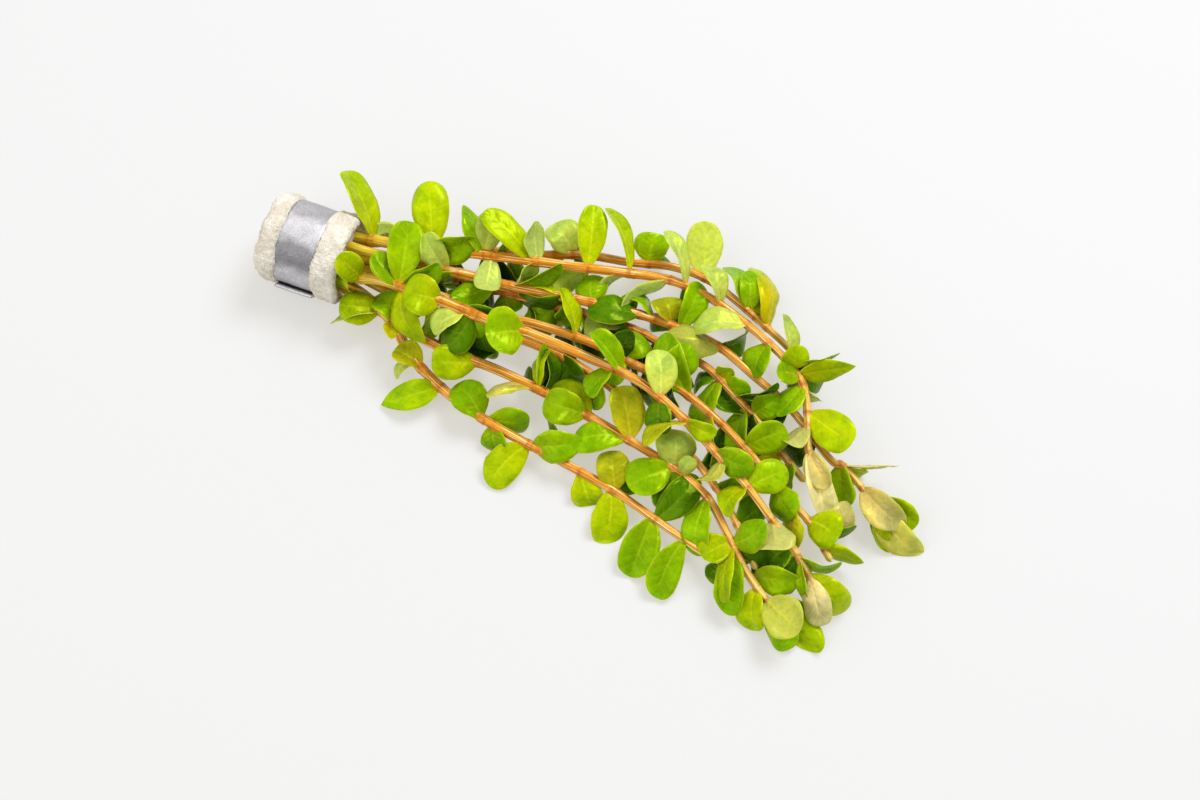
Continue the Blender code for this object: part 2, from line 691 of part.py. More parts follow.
def grown_leaves(holders):
    placing = Placing(holders)
    for name in PLACING_ORDER:
        for leaf in SHOOTS[name].leaves:
            placing.place_drawn(name, leaf)
    drawn = sum(map(len, placing.leaves.values()))
    for name in PLACING_ORDER:
        for leaf in SHOOTS[name].leaves:
            placing.place_hidden(name, leaf)
    print(f"{drawn} drawn leaves, {sum(map(len, placing.leaves.values())) - drawn} hidden ones")
    return placing.leaves


def shoots(holders):
    stem_finish = material("orange stem", (0.72, 0.33, 0.05), 0.35)
    leaf_finish = material("green leaf", (0.36, 0.55, 0.03), 0.45)
    leaves = grown_leaves(holders)
    for name, shoot in SHOOTS.items():
        blades = bpy.data.collections.new(f"{name}_leaves")
        bpy.context.scene.collection.children.link(blades)
        for number, (points, faces) in enumerate(leaves[name]):
            blades.objects.link(mesh_object(f"{name}_leaf_{number}", points, faces, leaf_finish, hidden=True))
        points, faces = tube(stem_line(shoot), shoot.base_radius * MM, shoot.tip_radius * MM)
        stem = in_scene(mesh_object(name, points, faces, stem_finish, leaf_finish))
        grown = stem.modifiers.new("leaves", "BOOLEAN")
        grown.operation = "UNION"
        grown.operand_type = "COLLECTION"
        grown.collection = blades
        grown.solver = "EXACT"
        grown.material_mode = "TRANSFER"


def main():
    remove_everything()
    shoots([foam_sleeve(), weight_strip()])


main()
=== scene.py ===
# The looks of a bunch of cut rotala shoots, whose cut ends sit in a foam sleeve under a lead strip
import itertools
import math
import random
from typing import NamedTuple

import bpy
from mathutils import Matrix, Vector, noise
from mathutils.kdtree import KDTree


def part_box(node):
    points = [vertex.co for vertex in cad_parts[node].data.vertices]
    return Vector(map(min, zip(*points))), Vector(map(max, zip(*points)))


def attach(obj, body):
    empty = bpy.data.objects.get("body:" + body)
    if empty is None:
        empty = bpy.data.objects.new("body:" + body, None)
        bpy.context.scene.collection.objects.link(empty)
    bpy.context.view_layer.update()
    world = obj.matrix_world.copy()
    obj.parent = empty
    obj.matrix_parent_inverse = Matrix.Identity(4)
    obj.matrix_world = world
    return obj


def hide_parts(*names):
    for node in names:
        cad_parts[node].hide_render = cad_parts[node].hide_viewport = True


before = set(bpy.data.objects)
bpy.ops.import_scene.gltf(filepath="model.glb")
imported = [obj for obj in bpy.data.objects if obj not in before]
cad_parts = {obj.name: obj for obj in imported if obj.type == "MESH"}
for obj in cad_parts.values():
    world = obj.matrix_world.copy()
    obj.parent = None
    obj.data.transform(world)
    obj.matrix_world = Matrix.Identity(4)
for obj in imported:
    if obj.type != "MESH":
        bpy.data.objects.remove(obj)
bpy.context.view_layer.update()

mm = 0.001
print("frame loaded")

# How the bunch was seen. The shoots' points are pixels of this view.
view = {
    "middle": (600, 400),
    "focalLength": 2000,  # pixels
    "imageWidth": 1200,
    "sensorWidth": 36,  # mm
    "turn": 20,  # degrees
    "rise": 70,
    "distance": 510,  # mm
    "target": (85.6, -13.2, 8.0),
    "clip": (0.01, 10),  # m
}
viewTurn, viewRise = math.radians(view["turn"]), math.radians(view["rise"])
toRight = Vector((math.cos(viewTurn), math.sin(viewTurn), 0))
toViewer = Vector((
    math.sin(viewTurn) * math.cos(viewRise),
    -math.cos(viewTurn) * math.cos(viewRise),
    math.sin(viewRise),
))
toTop = toViewer.cross(toRight)
viewer = (Vector(view["target"]) + toViewer * view["distance"]) * mm


# The point at this height, in metres, that the view shows at these pixels
def pointAt(across, down, height):
    ray = (
        toRight * (across - view["middle"][0])
        + toTop * (view["middle"][1] - down)
        - toViewer * view["focalLength"]
    )
    return viewer + ray * ((height - viewer.z) / ray.z)


def pixelsOf(point):
    away = point - viewer
    scale = view["focalLength"] / -away.dot(toViewer)
    return view["middle"][0] + away.dot(toRight) * scale, view["middle"][1] - away.dot(toTop) * scale


# Formulas on node sockets, for shapes and for finishes


class Field:
    def __init__(self, tree, socket):
        self.tree, self.socket = tree, socket
        self.isVector = socket.type in ("VECTOR", "RGBA")

    def calc(self, operation, *values, vector=False):
        made = self.tree.nodes.new("ShaderNodeVectorMath" if vector else "ShaderNodeMath")
        made.operation = operation
        sockets = [made.inputs[0], made.inputs["Scale"]] if operation == "SCALE" else made.inputs
        for socket, value in zip(sockets, values):
            feed(self.tree, socket, value)
        return Field(self.tree, made.outputs[0])

    def __add__(self, other):
        return self.calc("ADD", self, other, vector=self.isVector)

    __radd__ = __add__

    def __sub__(self, other):
        return self.calc("SUBTRACT", self, other, vector=self.isVector)

    def __rsub__(self, other):
        return self.calc("SUBTRACT", other, self, vector=self.isVector)

    def __mul__(self, other):
        if self.isVector:
            return self.calc("SCALE", self, other, vector=True)
        if isinstance(other, Field) and other.isVector:
            return other * self
        return self.calc("MULTIPLY", self, other)

    __rmul__ = __mul__

    def __truediv__(self, other):
        return self.calc("DIVIDE", self, other)

    def __pow__(self, other):
        return self.calc("POWER", self, other)

    def __neg__(self):
        return self * -1

    def times(self, vector):
        return self.calc("MULTIPLY", self, vector, vector=True)

    def sin(self):
        return self.calc("SINE", self)

    def cos(self):
        return self.calc("COSINE", self)

    def abs(self):
        return self.calc("ABSOLUTE", self)

    def sqrt(self):
        return self.calc("SQRT", self)

    def atLeast(self, other):
        return self.calc("MAXIMUM", self, other)

    def bell(self, width):  # 1 at 0, and near 0 past this width
        return self.calc("EXPONENT", -((self / width) ** 2))

    def ramp(self, low, high):  # 0 below low, 1 above high, smooth between
        made = self.tree.nodes.new("ShaderNodeMapRange")
        made.interpolation_type = "SMOOTHSTEP"
        for socket, value in zip(made.inputs, (self, low, high)):
            feed(self.tree, socket, value)
        return Field(self.tree, made.outputs["Result"])

    def parts(self):
        made = self.tree.nodes.new("ShaderNodeSeparateXYZ")
        feed(self.tree, made.inputs[0], self)
        return [Field(self.tree, socket) for socket in made.outputs]


def feed(tree, socket, value):
    if isinstance(value, Field):
        value = value.socket
    if isinstance(value, bpy.types.NodeSocket):
        tree.links.new(value, socket)
    else:
        socket.default_value = value


def addNode(tree, kind, inputs=(), **settings):
    made = tree.nodes.new(kind)
    for name, value in settings.items():
        setattr(made, name, value)
    for name, value in dict(inputs).items():
        feed(tree, made.inputs[name], value)
    return made


def mixed(tree, factor, first, second):  # colours
    made = addNode(tree, "ShaderNodeMix", data_type="RGBA")
    for name, value in (("Factor_Float", factor), ("A_Color", first), ("B_Color", second)):
        socket = next(each for each in made.inputs if each.identifier == name)
        if isinstance(value, tuple):
            value = (*value, 1)
        feed(tree, socket, value)
    return Field(tree, next(each for each in made.outputs if each.identifier == "Result_Color"))


# Finishes


def tinted(tree, colour, pattern, tint, share=1, of=None):
    # A tint holds where its pattern starts, where it is full, its strength, and its colour or factors.
    start, full, strength, other = tint
    if of is not None:
        other = of.times(other)
    return mixed(tree, pattern.ramp(start, full) * (share * strength), colour, other)


def finish(name, sockets):
    material = bpy.data.materials.new(name)
    material.use_nodes = True
    shader = material.node_tree.nodes["Principled BSDF"]
    for key, value in sockets.items():
        shader.inputs[key].default_value = value
    return material, material.node_tree, shader


def attribute(tree, name):
    return Field(tree, addNode(tree, "ShaderNodeAttribute", attribute_name=name).outputs["Vector"])


def number(tree, name):
    return Field(tree, addNode(tree, "ShaderNodeAttribute", attribute_name=name).outputs["Fac"])


def objectPlace(tree):
    return Field(tree, addNode(tree, "ShaderNodeTexCoord").outputs["Object"])


def cloud(tree, place, scale, detail=3.0):  # smooth noise round a half
    inputs = {"Vector": place, "Scale": scale, "Detail": detail}
    return Field(tree, addNode(tree, "ShaderNodeTexNoise", inputs).outputs[0])


def combined(tree, x, y, z):
    return Field(tree, addNode(tree, "ShaderNodeCombineXYZ", {"X": x, "Y": y, "Z": z}).outputs[0])


def bumped(tree, shader, height, strength, distance):
    inputs = {"Height": height, "Strength": strength, "Distance": distance}
    feed(tree, shader.inputs["Normal"], addNode(tree, "ShaderNodeBump", inputs).outputs[0])


# The shoots: their lines are (across, down, height in mm), with a place in the ring of cut ends in degrees
class Leaf(NamedTuple):
    tone: str
    baseAcross: float  # pixels
    baseDown: float
    tipAcross: float
    tipDown: float
    rise: float  # mm from base to tip
    width: float  # mm
    turn: float = 0  # degrees about its length, and 180 shows the pale underside
    fold: float = 25  # degrees that the two halves are folded up
    bend: float = 25  # degrees that the blade arches over, from base to tip
    broad: float = None  # times the width of the plain solid
    curl: float = None  # how far the tip curls back, as a share of the length, and None leaves it to chance
    cup: float = None  # how far the edges curve up, as a share of the half width
    twist: float = None  # degrees from base to tip
    sweep: float = None  # how far the middle is to one side, as a share of the length
    raised: float = 0  # how far the middle is raised past the bend, as a share of the length
    point: float = None  # a power: more gives a more pointed tip


straight = {"curl": 0, "twist": 0}
flat = {"curl": 0, "cup": 0, "twist": 0, "sweep": 0}
shoots = {
    "shoot_1": {
        "ring": 22.5,
        "baseRadius": 1.45,
        "tipRadius": 0.85,
        "line": (
            (346, 234, 14.2), (390, 243, 15), (445, 250, 15.6), (500, 256.5, 15.8), (562, 265, 15.5),
            (620, 272, 15), (670, 280, 14.5), (710, 298, 14), (750, 327, 13), (785, 359, 11.8),
            (803, 385, 11.2), (808, 420, 10.8), (808, 445, 10.2), (812, 462, 9),
        ),
        "leaves": (
            Leaf("lime", 375, 231, 345, 171, 4, 8.5, 20, 20, 40, **flat),
            Leaf("pale", 373, 231, 394, 230, -2, 5.5, 205),
            Leaf("lime", 435, 241, 429, 181, 4, 9, 0, 35, sweep=0, **straight),
            Leaf("fresh", 433, 234, 473, 243, -1, 8, 55),
            Leaf("mid", 485, 243, 465, 204, 4, 8, 52, twist=0, sweep=0, point=0.8),
            Leaf("pale", 487, 247, 494, 213, 5, 7, 0, twist=0, sweep=0),
            Leaf("pale", 491, 261, 485, 295, -3, 6.5, 145, broad=1.1, sweep=0),
            Leaf("mid", 497, 250, 514, 227, -3, 7, 80),
            Leaf("lime", 533, 256, 484, 211, 3, 9, 25, 25, 35, broad=0.88, **straight),
            Leaf("pale", 538, 257, 534, 221, 5, 7, 225),
            Leaf("pale", 540, 256, 518, 284, -3, 7, 115),
            Leaf("lime", 590, 262, 594, 205, 4, 8, 10, broad=1, **flat),
            Leaf("fresh", 587, 273, 556, 288, -4, 8, 140, 25, 45),
            Leaf("lime", 631, 266, 606, 208, 3, 7, 55, 25, 50, broad=0.95, **straight),
            Leaf("pale", 635, 268, 600, 292, -3, 7, 112, 25, 40),
            Leaf("pale", 688, 284, 665, 231, 5, 6.5, 45, 20, 60, broad=0.9, sweep=0, **straight),
            Leaf("pale", 668, 286, 617, 298, -2, 7, 112, 25, -25, twist=0),
            Leaf("pale", 727, 296, 712, 263, 5, 6.5, 40, 60),
            Leaf("pale", 745, 328, 696, 320, 2, 7.5, 42, 25, 35),
            Leaf("mid", 771, 341, 752, 375, -3, 7.5, 42, twist=0),
            Leaf("pale", 792, 364, 783, 314, 2, 6.5, 50, broad=0.9, sweep=0, **straight),
            Leaf("fresh", 798, 380, 776, 372, 4, 6, 20),
            Leaf("lime", 803, 372, 856, 366, 2, 7.5, 35, broad=0.9, point=0.95, **straight),
            Leaf("mid", 803, 357, 840, 353, 3, 7, 78, point=0.9, **straight),
            Leaf("lime", 797, 368, 797, 352, 6, 6.5),
            Leaf("mid", 805, 384, 778, 417, -1, 8, 45, 50),
            Leaf("pale", 808, 380, 817, 404, -4, 6, 55),
            Leaf("lime", 813, 414, 851, 445, 3, 10, 0, 20, broad=1, **straight),
            Leaf("yellow", 812, 423, 788, 446, -2, 7, 235),
            Leaf("cream", 806, 448, 828, 488, 0, 6, 20, 30, 30, broad=1.15, **straight),
            Leaf("bleached", 813, 466, 826, 519, -4, 7.5, 0, 20, 30, broad=0.9, cup=0.6, sweep=0, point=0.3),
        ),
    },
    "shoot_2": {
        "ring": -22.5,
        "baseRadius": 1.35,
        "tipRadius": 0.85,
        "line": (
            (350, 242, 8.6), (400, 242, 8.6), (450, 247, 9), (500, 252, 9.4), (540, 255, 10),
            (585, 255, 10.5), (628, 262, 10.8), (673, 267, 10.5), (708, 280, 10), (740, 304, 9.3),
            (775, 335, 8), (792, 352, 7.2), (800, 366, 6.4),
        ),
        "leaves": (
            Leaf("pale", 573, 254, 556, 223, 4, 8.5, 15, 25, 20, broad=1.2, twist=0),
            Leaf("fresh", 650, 266, 656, 233, 4, 8.5, 5, 20, 40, **straight),
            Leaf("lime", 706, 272, 705, 221, 4, 9.5, 180, broad=1.05, sweep=0, **straight),
            Leaf("mid", 748, 308, 737, 263, 3, 7, 40, twist=0),
            Leaf("mid", 750, 310, 751, 272, 5, 6.5, -10, broad=0.95, twist=0, sweep=0),
            Leaf("lime", 756, 316, 759, 265, -1, 6.5, 20, twist=0, sweep=0),
            Leaf("gold", 768, 328, 776, 273, 3, 8, 50, twist=0),
        ),
    },
    "shoot_3": {
        "ring": 67.5,
        "baseRadius": 1.35,
        "tipRadius": 0.85,
        "line": (
            (348, 246, 16), (375, 254, 15.2), (420, 264, 14), (467, 275, 13.4), (515, 287, 12.8),
            (560, 296, 12.5), (627, 311, 12), (680, 328, 11), (718, 346, 10), (755, 377, 9),
            (790, 408, 8), (830, 459, 6.4), (843, 466, 6), (865, 491, 5), (882, 507, 4.4),
        ),
        "leaves": (
            Leaf("pale", 448, 264, 424, 234, 4, 7, 20, broad=1),
            Leaf("mid", 509, 291, 561, 262, 7, 8, 58, broad=0.8, twist=0),
            Leaf("mid", 495, 284, 452, 300, 1, 7.5, 25, 50, -40),
            Leaf("dark", 640, 315, 592, 303, 2, 8, 35),
            Leaf("mid", 590, 303, 592, 274, -2, 8, 20),
            Leaf("olive", 668, 324, 663, 297, 2, 8, 30),
            Leaf("mid", 683, 320, 702, 285, 4, 7, 25, broad=1.05, twist=0),
            Leaf("olive", 718, 354, 670, 336, 3, 9, 212, 30, -40),
            Leaf("dark", 720, 346, 753, 334, -2, 7, 50),
            Leaf("fresh", 840, 463, 845, 507, -3, 8, 38, sweep=0),
            Leaf("cream", 845, 461, 899, 466, 1, 5, 82, 20, 10, broad=0.8, curl=0, cup=0, twist=0, point=1),
            Leaf("lime", 850, 466, 862, 482, -2, 6, 20),
            Leaf("cream", 862, 490, 900, 527, 2, 8, 15, broad=1.1, cup=0.3, sweep=0, raised=0.06),
            Leaf("lime", 884, 508, 918, 524, 0, 7, 20, curl=0),
            Leaf("yellow", 888, 512, 920, 556, -2, 7.5, 10),
            Leaf("lime", 866, 512, 880, 553, -4, 5.5, 30, broad=0.85, cup=-0.4, twist=0),
            Leaf("dark", 872, 503, 884, 540, -4, 6, 30, broad=0.9, cup=-0.4, twist=0),
        ),
        "more": (
            Leaf("mid", 460, 273, 428, 282, -3, 7.5, -20),
            Leaf("lime", 563, 297, 528, 277, -1, 8, 20),
            Leaf("mid", 655, 320, 636, 288, -1, 7, 20),
            Leaf("mid", 575, 300, 560, 322, -3, 7),
            Leaf("dark", 676, 327, 640, 325, -5, 4.5),
        ),
    },
    "shoot_4": {
        "ring": None,
        "baseRadius": 1.3,
        "tipRadius": 0.85,
        "line": (
            (352, 258, 10), (400, 266, 8.5), (460, 280, 8.2), (520, 296, 8.6), (580, 312, 8.8),
            (635, 330, 8.6), (658, 342, 8.4), (705, 366, 8), (730, 390, 7.6), (758, 421, 7),
            (777, 448, 6.2), (789, 462, 5.6), (805, 482, 4.8),
        ),
        "leaves": (
            Leaf("dark", 517, 297, 566, 310, 1, 8, 30, broad=1.15),
            Leaf("mid", 505, 292, 510, 314, -3, 7, 20),
            Leaf("pale", 622, 326, 588, 322, 1, 8, 40),
            Leaf("mid", 720, 380, 692, 428, -2, 7, 45, **straight),
            Leaf("dark", 712, 379, 690, 383, -3, 6, 52),
            Leaf("lime", 717, 378, 732, 370, 3, 5, 30),
            Leaf("mid", 733, 376, 748, 389, 4, 6, 30),
            Leaf("dark", 735, 394, 778, 389, 1, 7, 76),
            Leaf("dark", 748, 420, 716, 388, 3, 9, 20, 60, -50),
            Leaf("mid", 752, 414, 777, 400, 3, 7, 25),
            Leaf("mid", 790, 460, 793, 490, -1, 7, 52),
        ),
        "more": (
            Leaf("mid", 555, 305, 530, 330, -3, 8, 10),
            Leaf("olive", 572, 311, 540, 322, -1, 6),
            Leaf("dark", 600, 318, 628, 350, -3, 8),
        ),
    },
    "shoot_5": {
        "ring": 112.5,
        "baseRadius": 1.3,
        "tipRadius": 0.85,
        "line": (
            (352, 266, 10.6), (400, 280, 10.4), (445, 298, 10.6), (490, 314, 11), (535, 324, 11.6),
            (590, 342, 12), (630, 362, 11.6), (672, 384, 11), (715, 418, 10.4), (750, 454, 9.6),
            (785, 497, 8.2), (808, 520, 7.2), (825, 550, 6), (831, 562, 5.4),
        ),
        "leaves": (
            Leaf("lime", 577, 337, 560, 288, 4, 6.5, 55, 30, 40, **straight),
            Leaf("mid", 668, 382, 690, 345, 3, 8, 20),
            Leaf("fresh", 742, 447, 787, 430, 3, 8.5, 22, **straight),
            Leaf("lime", 808, 520, 838, 539, 2, 9, 0, raised=0.08, **straight),
            Leaf("lime", 833, 552, 864, 563, 1, 6, 50, 20, -20, point=1, **straight),
            Leaf("cream", 818, 528, 855, 512, 2, 7, 25, broad=1.25),
            Leaf("dark", 818, 533, 858, 534, -1, 6, 55, broad=0.8, cup=-0.4, twist=0),
            Leaf("mid", 775, 487, 792, 517, -3, 8, 28),
        ),
        "more": (
            Leaf("mid", 622, 358, 645, 338, 2, 7.5),
            Leaf("mid", 690, 394, 664, 333, 1, 8, 10),
            Leaf("dark", 672, 384, 694, 368, -1, 7),
        ),
    },
    "shoot_6": {
        "ring": 157.5,
        "baseRadius": 1.4,
        "tipRadius": 0.85,
        "line": (
            (352, 276, 14), (385, 281, 15.5), (445, 302, 17), (490, 321, 17.6), (530, 333, 17.8),
            (590, 358.5, 17.4), (640, 382, 16.6), (685, 420, 15.2), (723, 460, 13.6), (748, 487, 12.2),
            (770, 517, 10.8), (792, 547, 9.4), (806, 570, 8), (812, 584, 7),
        ),
        "leaves": (
            Leaf("fresh", 400, 281, 409, 221, 6, 7, 5, broad=1.35, **straight),
            Leaf("lime", 360, 277, 337, 256, 9, 7, 10, 25, 60, broad=1.05, **flat),
            Leaf("mid", 403, 279, 373, 253, 4, 6, 30, **straight),
            Leaf("mid", 405, 285, 439, 268, 4, 7, 38),
            Leaf("lime", 402, 289, 414, 341, -1, 7, 30, twist=0, point=0.7),
            Leaf("lime", 442, 303, 405, 293, 3, 10, 0, 20, 35),
            Leaf("pale", 465, 312, 431, 330, -2, 7, 38, twist=0),
            Leaf("mid", 470, 314, 484, 339, -4, 6.5, 38),
            Leaf("fresh", 527, 333, 485, 335, 2, 11, 0, 15, 35),
            Leaf("mid", 621, 370, 591, 332, 5, 8, 25, 70, broad=0.95),
            Leaf("mid", 613, 372, 585, 392, -2, 7, 56),
            Leaf("pale", 661, 395, 660, 350, 5, 8.5, 10, broad=1),
            Leaf("dark", 660, 397, 657, 434, -3, 7, 28),
            Leaf("olive", 687, 425, 643, 436, 0, 7, 74),
            Leaf("lime", 688, 420, 713, 436, 2, 6, 30, broad=0.9),
            Leaf("mid", 718, 450, 751, 470, 3, 7, 30, sweep=0),
            Leaf("olive", 724, 459, 703, 488, 1, 6, 235, sweep=0),
            Leaf("fresh", 752, 485, 787, 470, 3, 9, 0, broad=1),
            Leaf("lime", 748, 487, 722, 511, 0, 6.5, 52),
            Leaf("yellow", 772, 519, 777, 550, 3, 9.5, 180, 10, **flat),
            Leaf("mid", 797, 553, 838, 572, 1, 7, 64, broad=0.85, twist=0),
            Leaf("fresh", 800, 560, 803, 600, -2, 6, 55, broad=0.65),
            Leaf("dark", 790, 548, 768, 566, -3, 7.5, 20),
            Leaf("bleached", 812, 582, 820, 626, -2, 6.5, 20, 30, 40),
            Leaf("lime", 818, 583, 842, 615, -1, 8, 20, 25, 45),
        ),
        "more": (
            Leaf("dark", 462, 310, 494, 330, -5, 8),
            Leaf("dark", 478, 318, 490, 360, -6, 7, 30),
            Leaf("dark", 470, 316, 446, 350, -6, 7.5),
        ),
    },
    "shoot_7": {
        "ring": 292.5,
        "baseRadius": 1.3,
        "tipRadius": 0.8,
        "line": (
            (352, 272, 6), (400, 297, 5.8), (460, 322, 6.6), (533, 344, 7.6), (595, 376, 8),
            (650, 420, 8), (693, 458, 7.6), (722, 497, 6.8), (742, 535, 5.6), (752, 560, 4.9),
            (757, 570, 4.6),
        ),
        "leaves": (
            Leaf("dark", 560, 357, 580, 386, -2, 8, 20),
            Leaf("mid", 598, 378, 592, 409, -1, 6, 55),
            Leaf("dark", 715, 487, 740, 491, 1, 7, 30),
            Leaf("dark", 738, 525, 764, 503, 0, 8, 20),
        ),
        "more": (
            Leaf("shade", 575, 366, 556, 338, -1, 7),
            Leaf("shade", 545, 348, 527, 312, -1, 8),
        ),
    },
    "shoot_8": {
        "ring": 202.5,
        "baseRadius": 1.35,
        "tipRadius": 0.85,
        "line": (
            (348, 290, 8), (362, 296, 8.6), (400, 325, 9), (445, 349, 9), (500, 371, 9),
            (548, 394, 8.6), (590, 417, 8.4), (624, 437, 8), (672, 467, 7.6), (707, 497, 7),
            (727, 533, 6.6), (746, 571, 6.2), (766, 600, 5.2), (776, 611, 4.6),
        ),
        "leaves": (
            Leaf("lime", 352, 292, 341, 252, 11, 8, -30, 20, 100, curl=0, cup=0, twist=0),
            Leaf("lime", 380, 310, 339, 306, 2, 8.5, 10),
            Leaf("pale", 380, 314, 330, 324, -3, 6.5, 68, broad=1.3, point=1, **flat),
            Leaf("mid", 398, 322, 378, 292, 1, 7.5, 20),
            Leaf("lime", 479, 364, 431, 361, 3, 9, 0, 25, 35, broad=1.05),
            Leaf("mid", 538, 388, 549, 345, 3, 6.5, 58),
            Leaf("lime", 537, 387, 542, 350, 5, 5.5, -58),
            Leaf("dark", 545, 392, 556, 351, 0, 7, 66),
            Leaf("yellow", 530, 391, 487, 389, 1, 6.5, 60, broad=0.8),
            Leaf("fresh", 588, 413, 545, 402, 3, 8.5, 0, 20, 40),
            Leaf("lime", 590, 414, 556, 380, -1, 8.5, 20),
            Leaf("olive", 633, 436, 620, 386, 4, 8.5, 15, **straight),
            Leaf("mid", 624, 444, 574, 441, 1, 7.5, 22),
            Leaf("mid", 670, 469, 629, 485, 1, 9, 10),
            Leaf("pale", 674, 466, 675, 434, 6, 9.5, 0),
            Leaf("mid", 704, 500, 692, 552, -1, 8.5, 28, broad=0.92),
            Leaf("dark", 735, 538, 785, 553, 2, 9, 20),
            Leaf("mid", 738, 541, 768, 527, 3, 7.5, 28),
            Leaf("lime", 728, 545, 722, 600, 2, 6.5, 45, broad=0.88),
            Leaf("mid", 734, 552, 732, 616, -1, 8, 5, 30, broad=0.98, sweep=0.08),
            Leaf("lime", 729, 541, 702, 557, -2, 8, 20),
            Leaf("lime", 749, 590, 753, 631, -3, 8, 32, 50),
            Leaf("olive", 775, 609, 803, 634, 1, 9.5, 180, 20, -20, raised=-0.16),
            Leaf("mid", 776, 612, 788, 650, -4, 7.5, 20, cup=-0.5, twist=0),
            Leaf("lime", 778, 612, 822, 650, -2, 8.5, 12, cup=-0.6, twist=0, raised=-0.08),
            Leaf("dark", 772, 602, 813, 622, -2, 8, 28, broad=0.95, cup=-0.6, twist=0, raised=-0.06),
        ),
        "more": (
            Leaf("gold", 392, 319, 391, 337, -2, 3.5),
            Leaf("shade", 470, 360, 488, 345, -3, 8),
            Leaf("shade", 440, 347, 462, 335, -2, 8),
            Leaf("dark", 540, 390, 520, 372, -3, 5),
            Leaf("pale", 680, 474, 690, 462, 1, 4),
        ),
    },
    "shoot_9": {
        "ring": 247.5,
        "baseRadius": 1.35,
        "tipRadius": 0.85,
        "line": (
            (348, 284, 4.5), (375, 304, 4.4), (396, 328, 4.8), (408, 352, 5), (430, 377, 5.4),
            (460, 403, 5.6), (500, 429, 5.6), (555, 458, 5.2), (611, 489, 4.8), (652, 517, 4.6),
            (700, 550, 4), (728, 565, 3.2), (745, 573, 2.8), (765, 580, 2.6),
        ),
        "leaves": (
            Leaf("olive", 422, 366, 394, 350, 2, 6.5, 20, 40, cup=0.5),
            Leaf("pale", 414, 362, 393, 375, -2, 4, 50),
            Leaf("fresh", 433, 394, 381, 405, -4.5, 7, 10, point=0.9, **flat),
            Leaf("mid", 482, 418, 458, 384, 4, 8.5, 5, point=0.4),
            Leaf("mid", 486, 420, 529, 426, -1, 7.5, 28),
            Leaf("mid", 491, 427, 499, 454, -3, 7, 30),
            Leaf("lime", 529, 445, 489, 486, -4.5, 9.5, 5, 15, broad=1, **straight),
            Leaf("mid", 534, 444, 579, 445, 3, 8, 15, twist=0, sweep=0, point=0.6),
            Leaf("mid", 540, 448, 554, 421, 2, 4.5, 62, 20, 60),
            Leaf("lime", 579, 470, 592, 511, -4, 8.5, 10, broad=1, sweep=0),
            Leaf("olive", 614, 489, 611, 452, 4, 8, 0, twist=0, sweep=0),
            Leaf("lime", 609, 491, 603, 545, -4, 8.5, 0),
            Leaf("dark", 657, 519, 697, 477, 2, 9, 10, broad=1, twist=0),
            Leaf("mid", 651, 520, 630, 577, -3.9, 9.2, 0),
            Leaf("mid", 681, 541, 656, 598, -3.5, 8.5, 0, broad=1),
            Leaf("dark", 728, 566, 706, 576, -1, 6, 30),
            Leaf("fresh", 757, 582, 798, 581, 4, 8, 15, broad=1, sweep=0),
        ),
    },
}
# Colours of the upper side and the underside, linear
leafTones = {
    "lime": ((0.31, 0.43, 0.001), (0.52, 0.56, 0.12)),
    "fresh": ((0.24, 0.40, 0.001), (0.44, 0.56, 0.10)),
    "mid": ((0.20, 0.375, 0.001), (0.37, 0.50, 0.08)),
    "dark": ((0.075, 0.19, 0.001), (0.20, 0.36, 0.04)),
    # shade: near-black, painted shade for the low leaves where the bunch lies in deep shade
    "shade": ((0.018, 0.065, 0.001), (0.05, 0.14, 0.01)),
    "olive": ((0.36, 0.39, 0.012), (0.46, 0.46, 0.11)),
    # pale: the paler undersides and young blades, and on leaves with a whitish sheen it is painted highlight
    "pale": ((0.39, 0.51, 0.10), (0.46, 0.55, 0.15)),
    "yellow": ((0.46, 0.46, 0.10), (0.51, 0.50, 0.17)),
    "gold": ((0.36, 0.37, 0.003), (0.44, 0.42, 0.04)),
    "cream": ((0.46, 0.42, 0.15), (0.52, 0.47, 0.20)),
    "bleached": ((0.68, 0.63, 0.30), (0.74, 0.68, 0.36)),
}

growth = {
    "axisHeight": 10.85,  # mm
    "cutEnds": -10.5,
    "ringRadius": 4.25,
    "leafBaseStep": 1.05,
    "bareTipSteps": 3,
    "lowWidth": 1.15,  # a power: over 1 puts a leaf's widest place past its middle
    "roundness": 0.62,  # a power: 1 gives a pointed leaf, less a rounder one
    "broadLeaf": 9,  # mm wide
    "lastSections": (0.93, 0.9),  # of a broad and a narrow leaf's solid, as shares of its length
    "rises": (0, 1, -1, 2, -2, 3, -3, 4.5, -4.5, 6, -6, 8, -8),
    "turns": (0, 15, -15, 30, -30, 50, -50),
    "turnPerRise": 12,  # degrees that count as much as a mm
    "hiddenLength": 11,
    "hiddenLean": 0.4,
    "hiddenAngles": range(0, 181, 30),
    "within": 0.03,  # mm from a point of the solid
}
hiddenLeaf = Leaf("dark", 0, 0, 0, 0, 0, 7)


def roundTheAxis(x, angle, radius):  # round the sleeve's axis, at an angle from +Y over the top
    return Vector((x, radius * math.cos(angle), growth["axisHeight"] + radius * math.sin(angle))) * mm


def smoothLine(points, step):
    found = []
    padded = [2 * points[0] - points[1], *points, 2 * points[-1] - points[-2]]
    for before, start, end, after in zip(padded, padded[1:], padded[2:], padded[3:]):
        parts = max(1, round((end - start).length / step))
        for part in range(parts):
            t = part / parts
            found.append(0.5 * (
                2 * start
                + (end - before) * t
                + (2 * before - 5 * start + 4 * end - after) * t**2
                + (3 * start - before - 3 * end + after) * t**3
            ))
    return [*found, points[-1]]


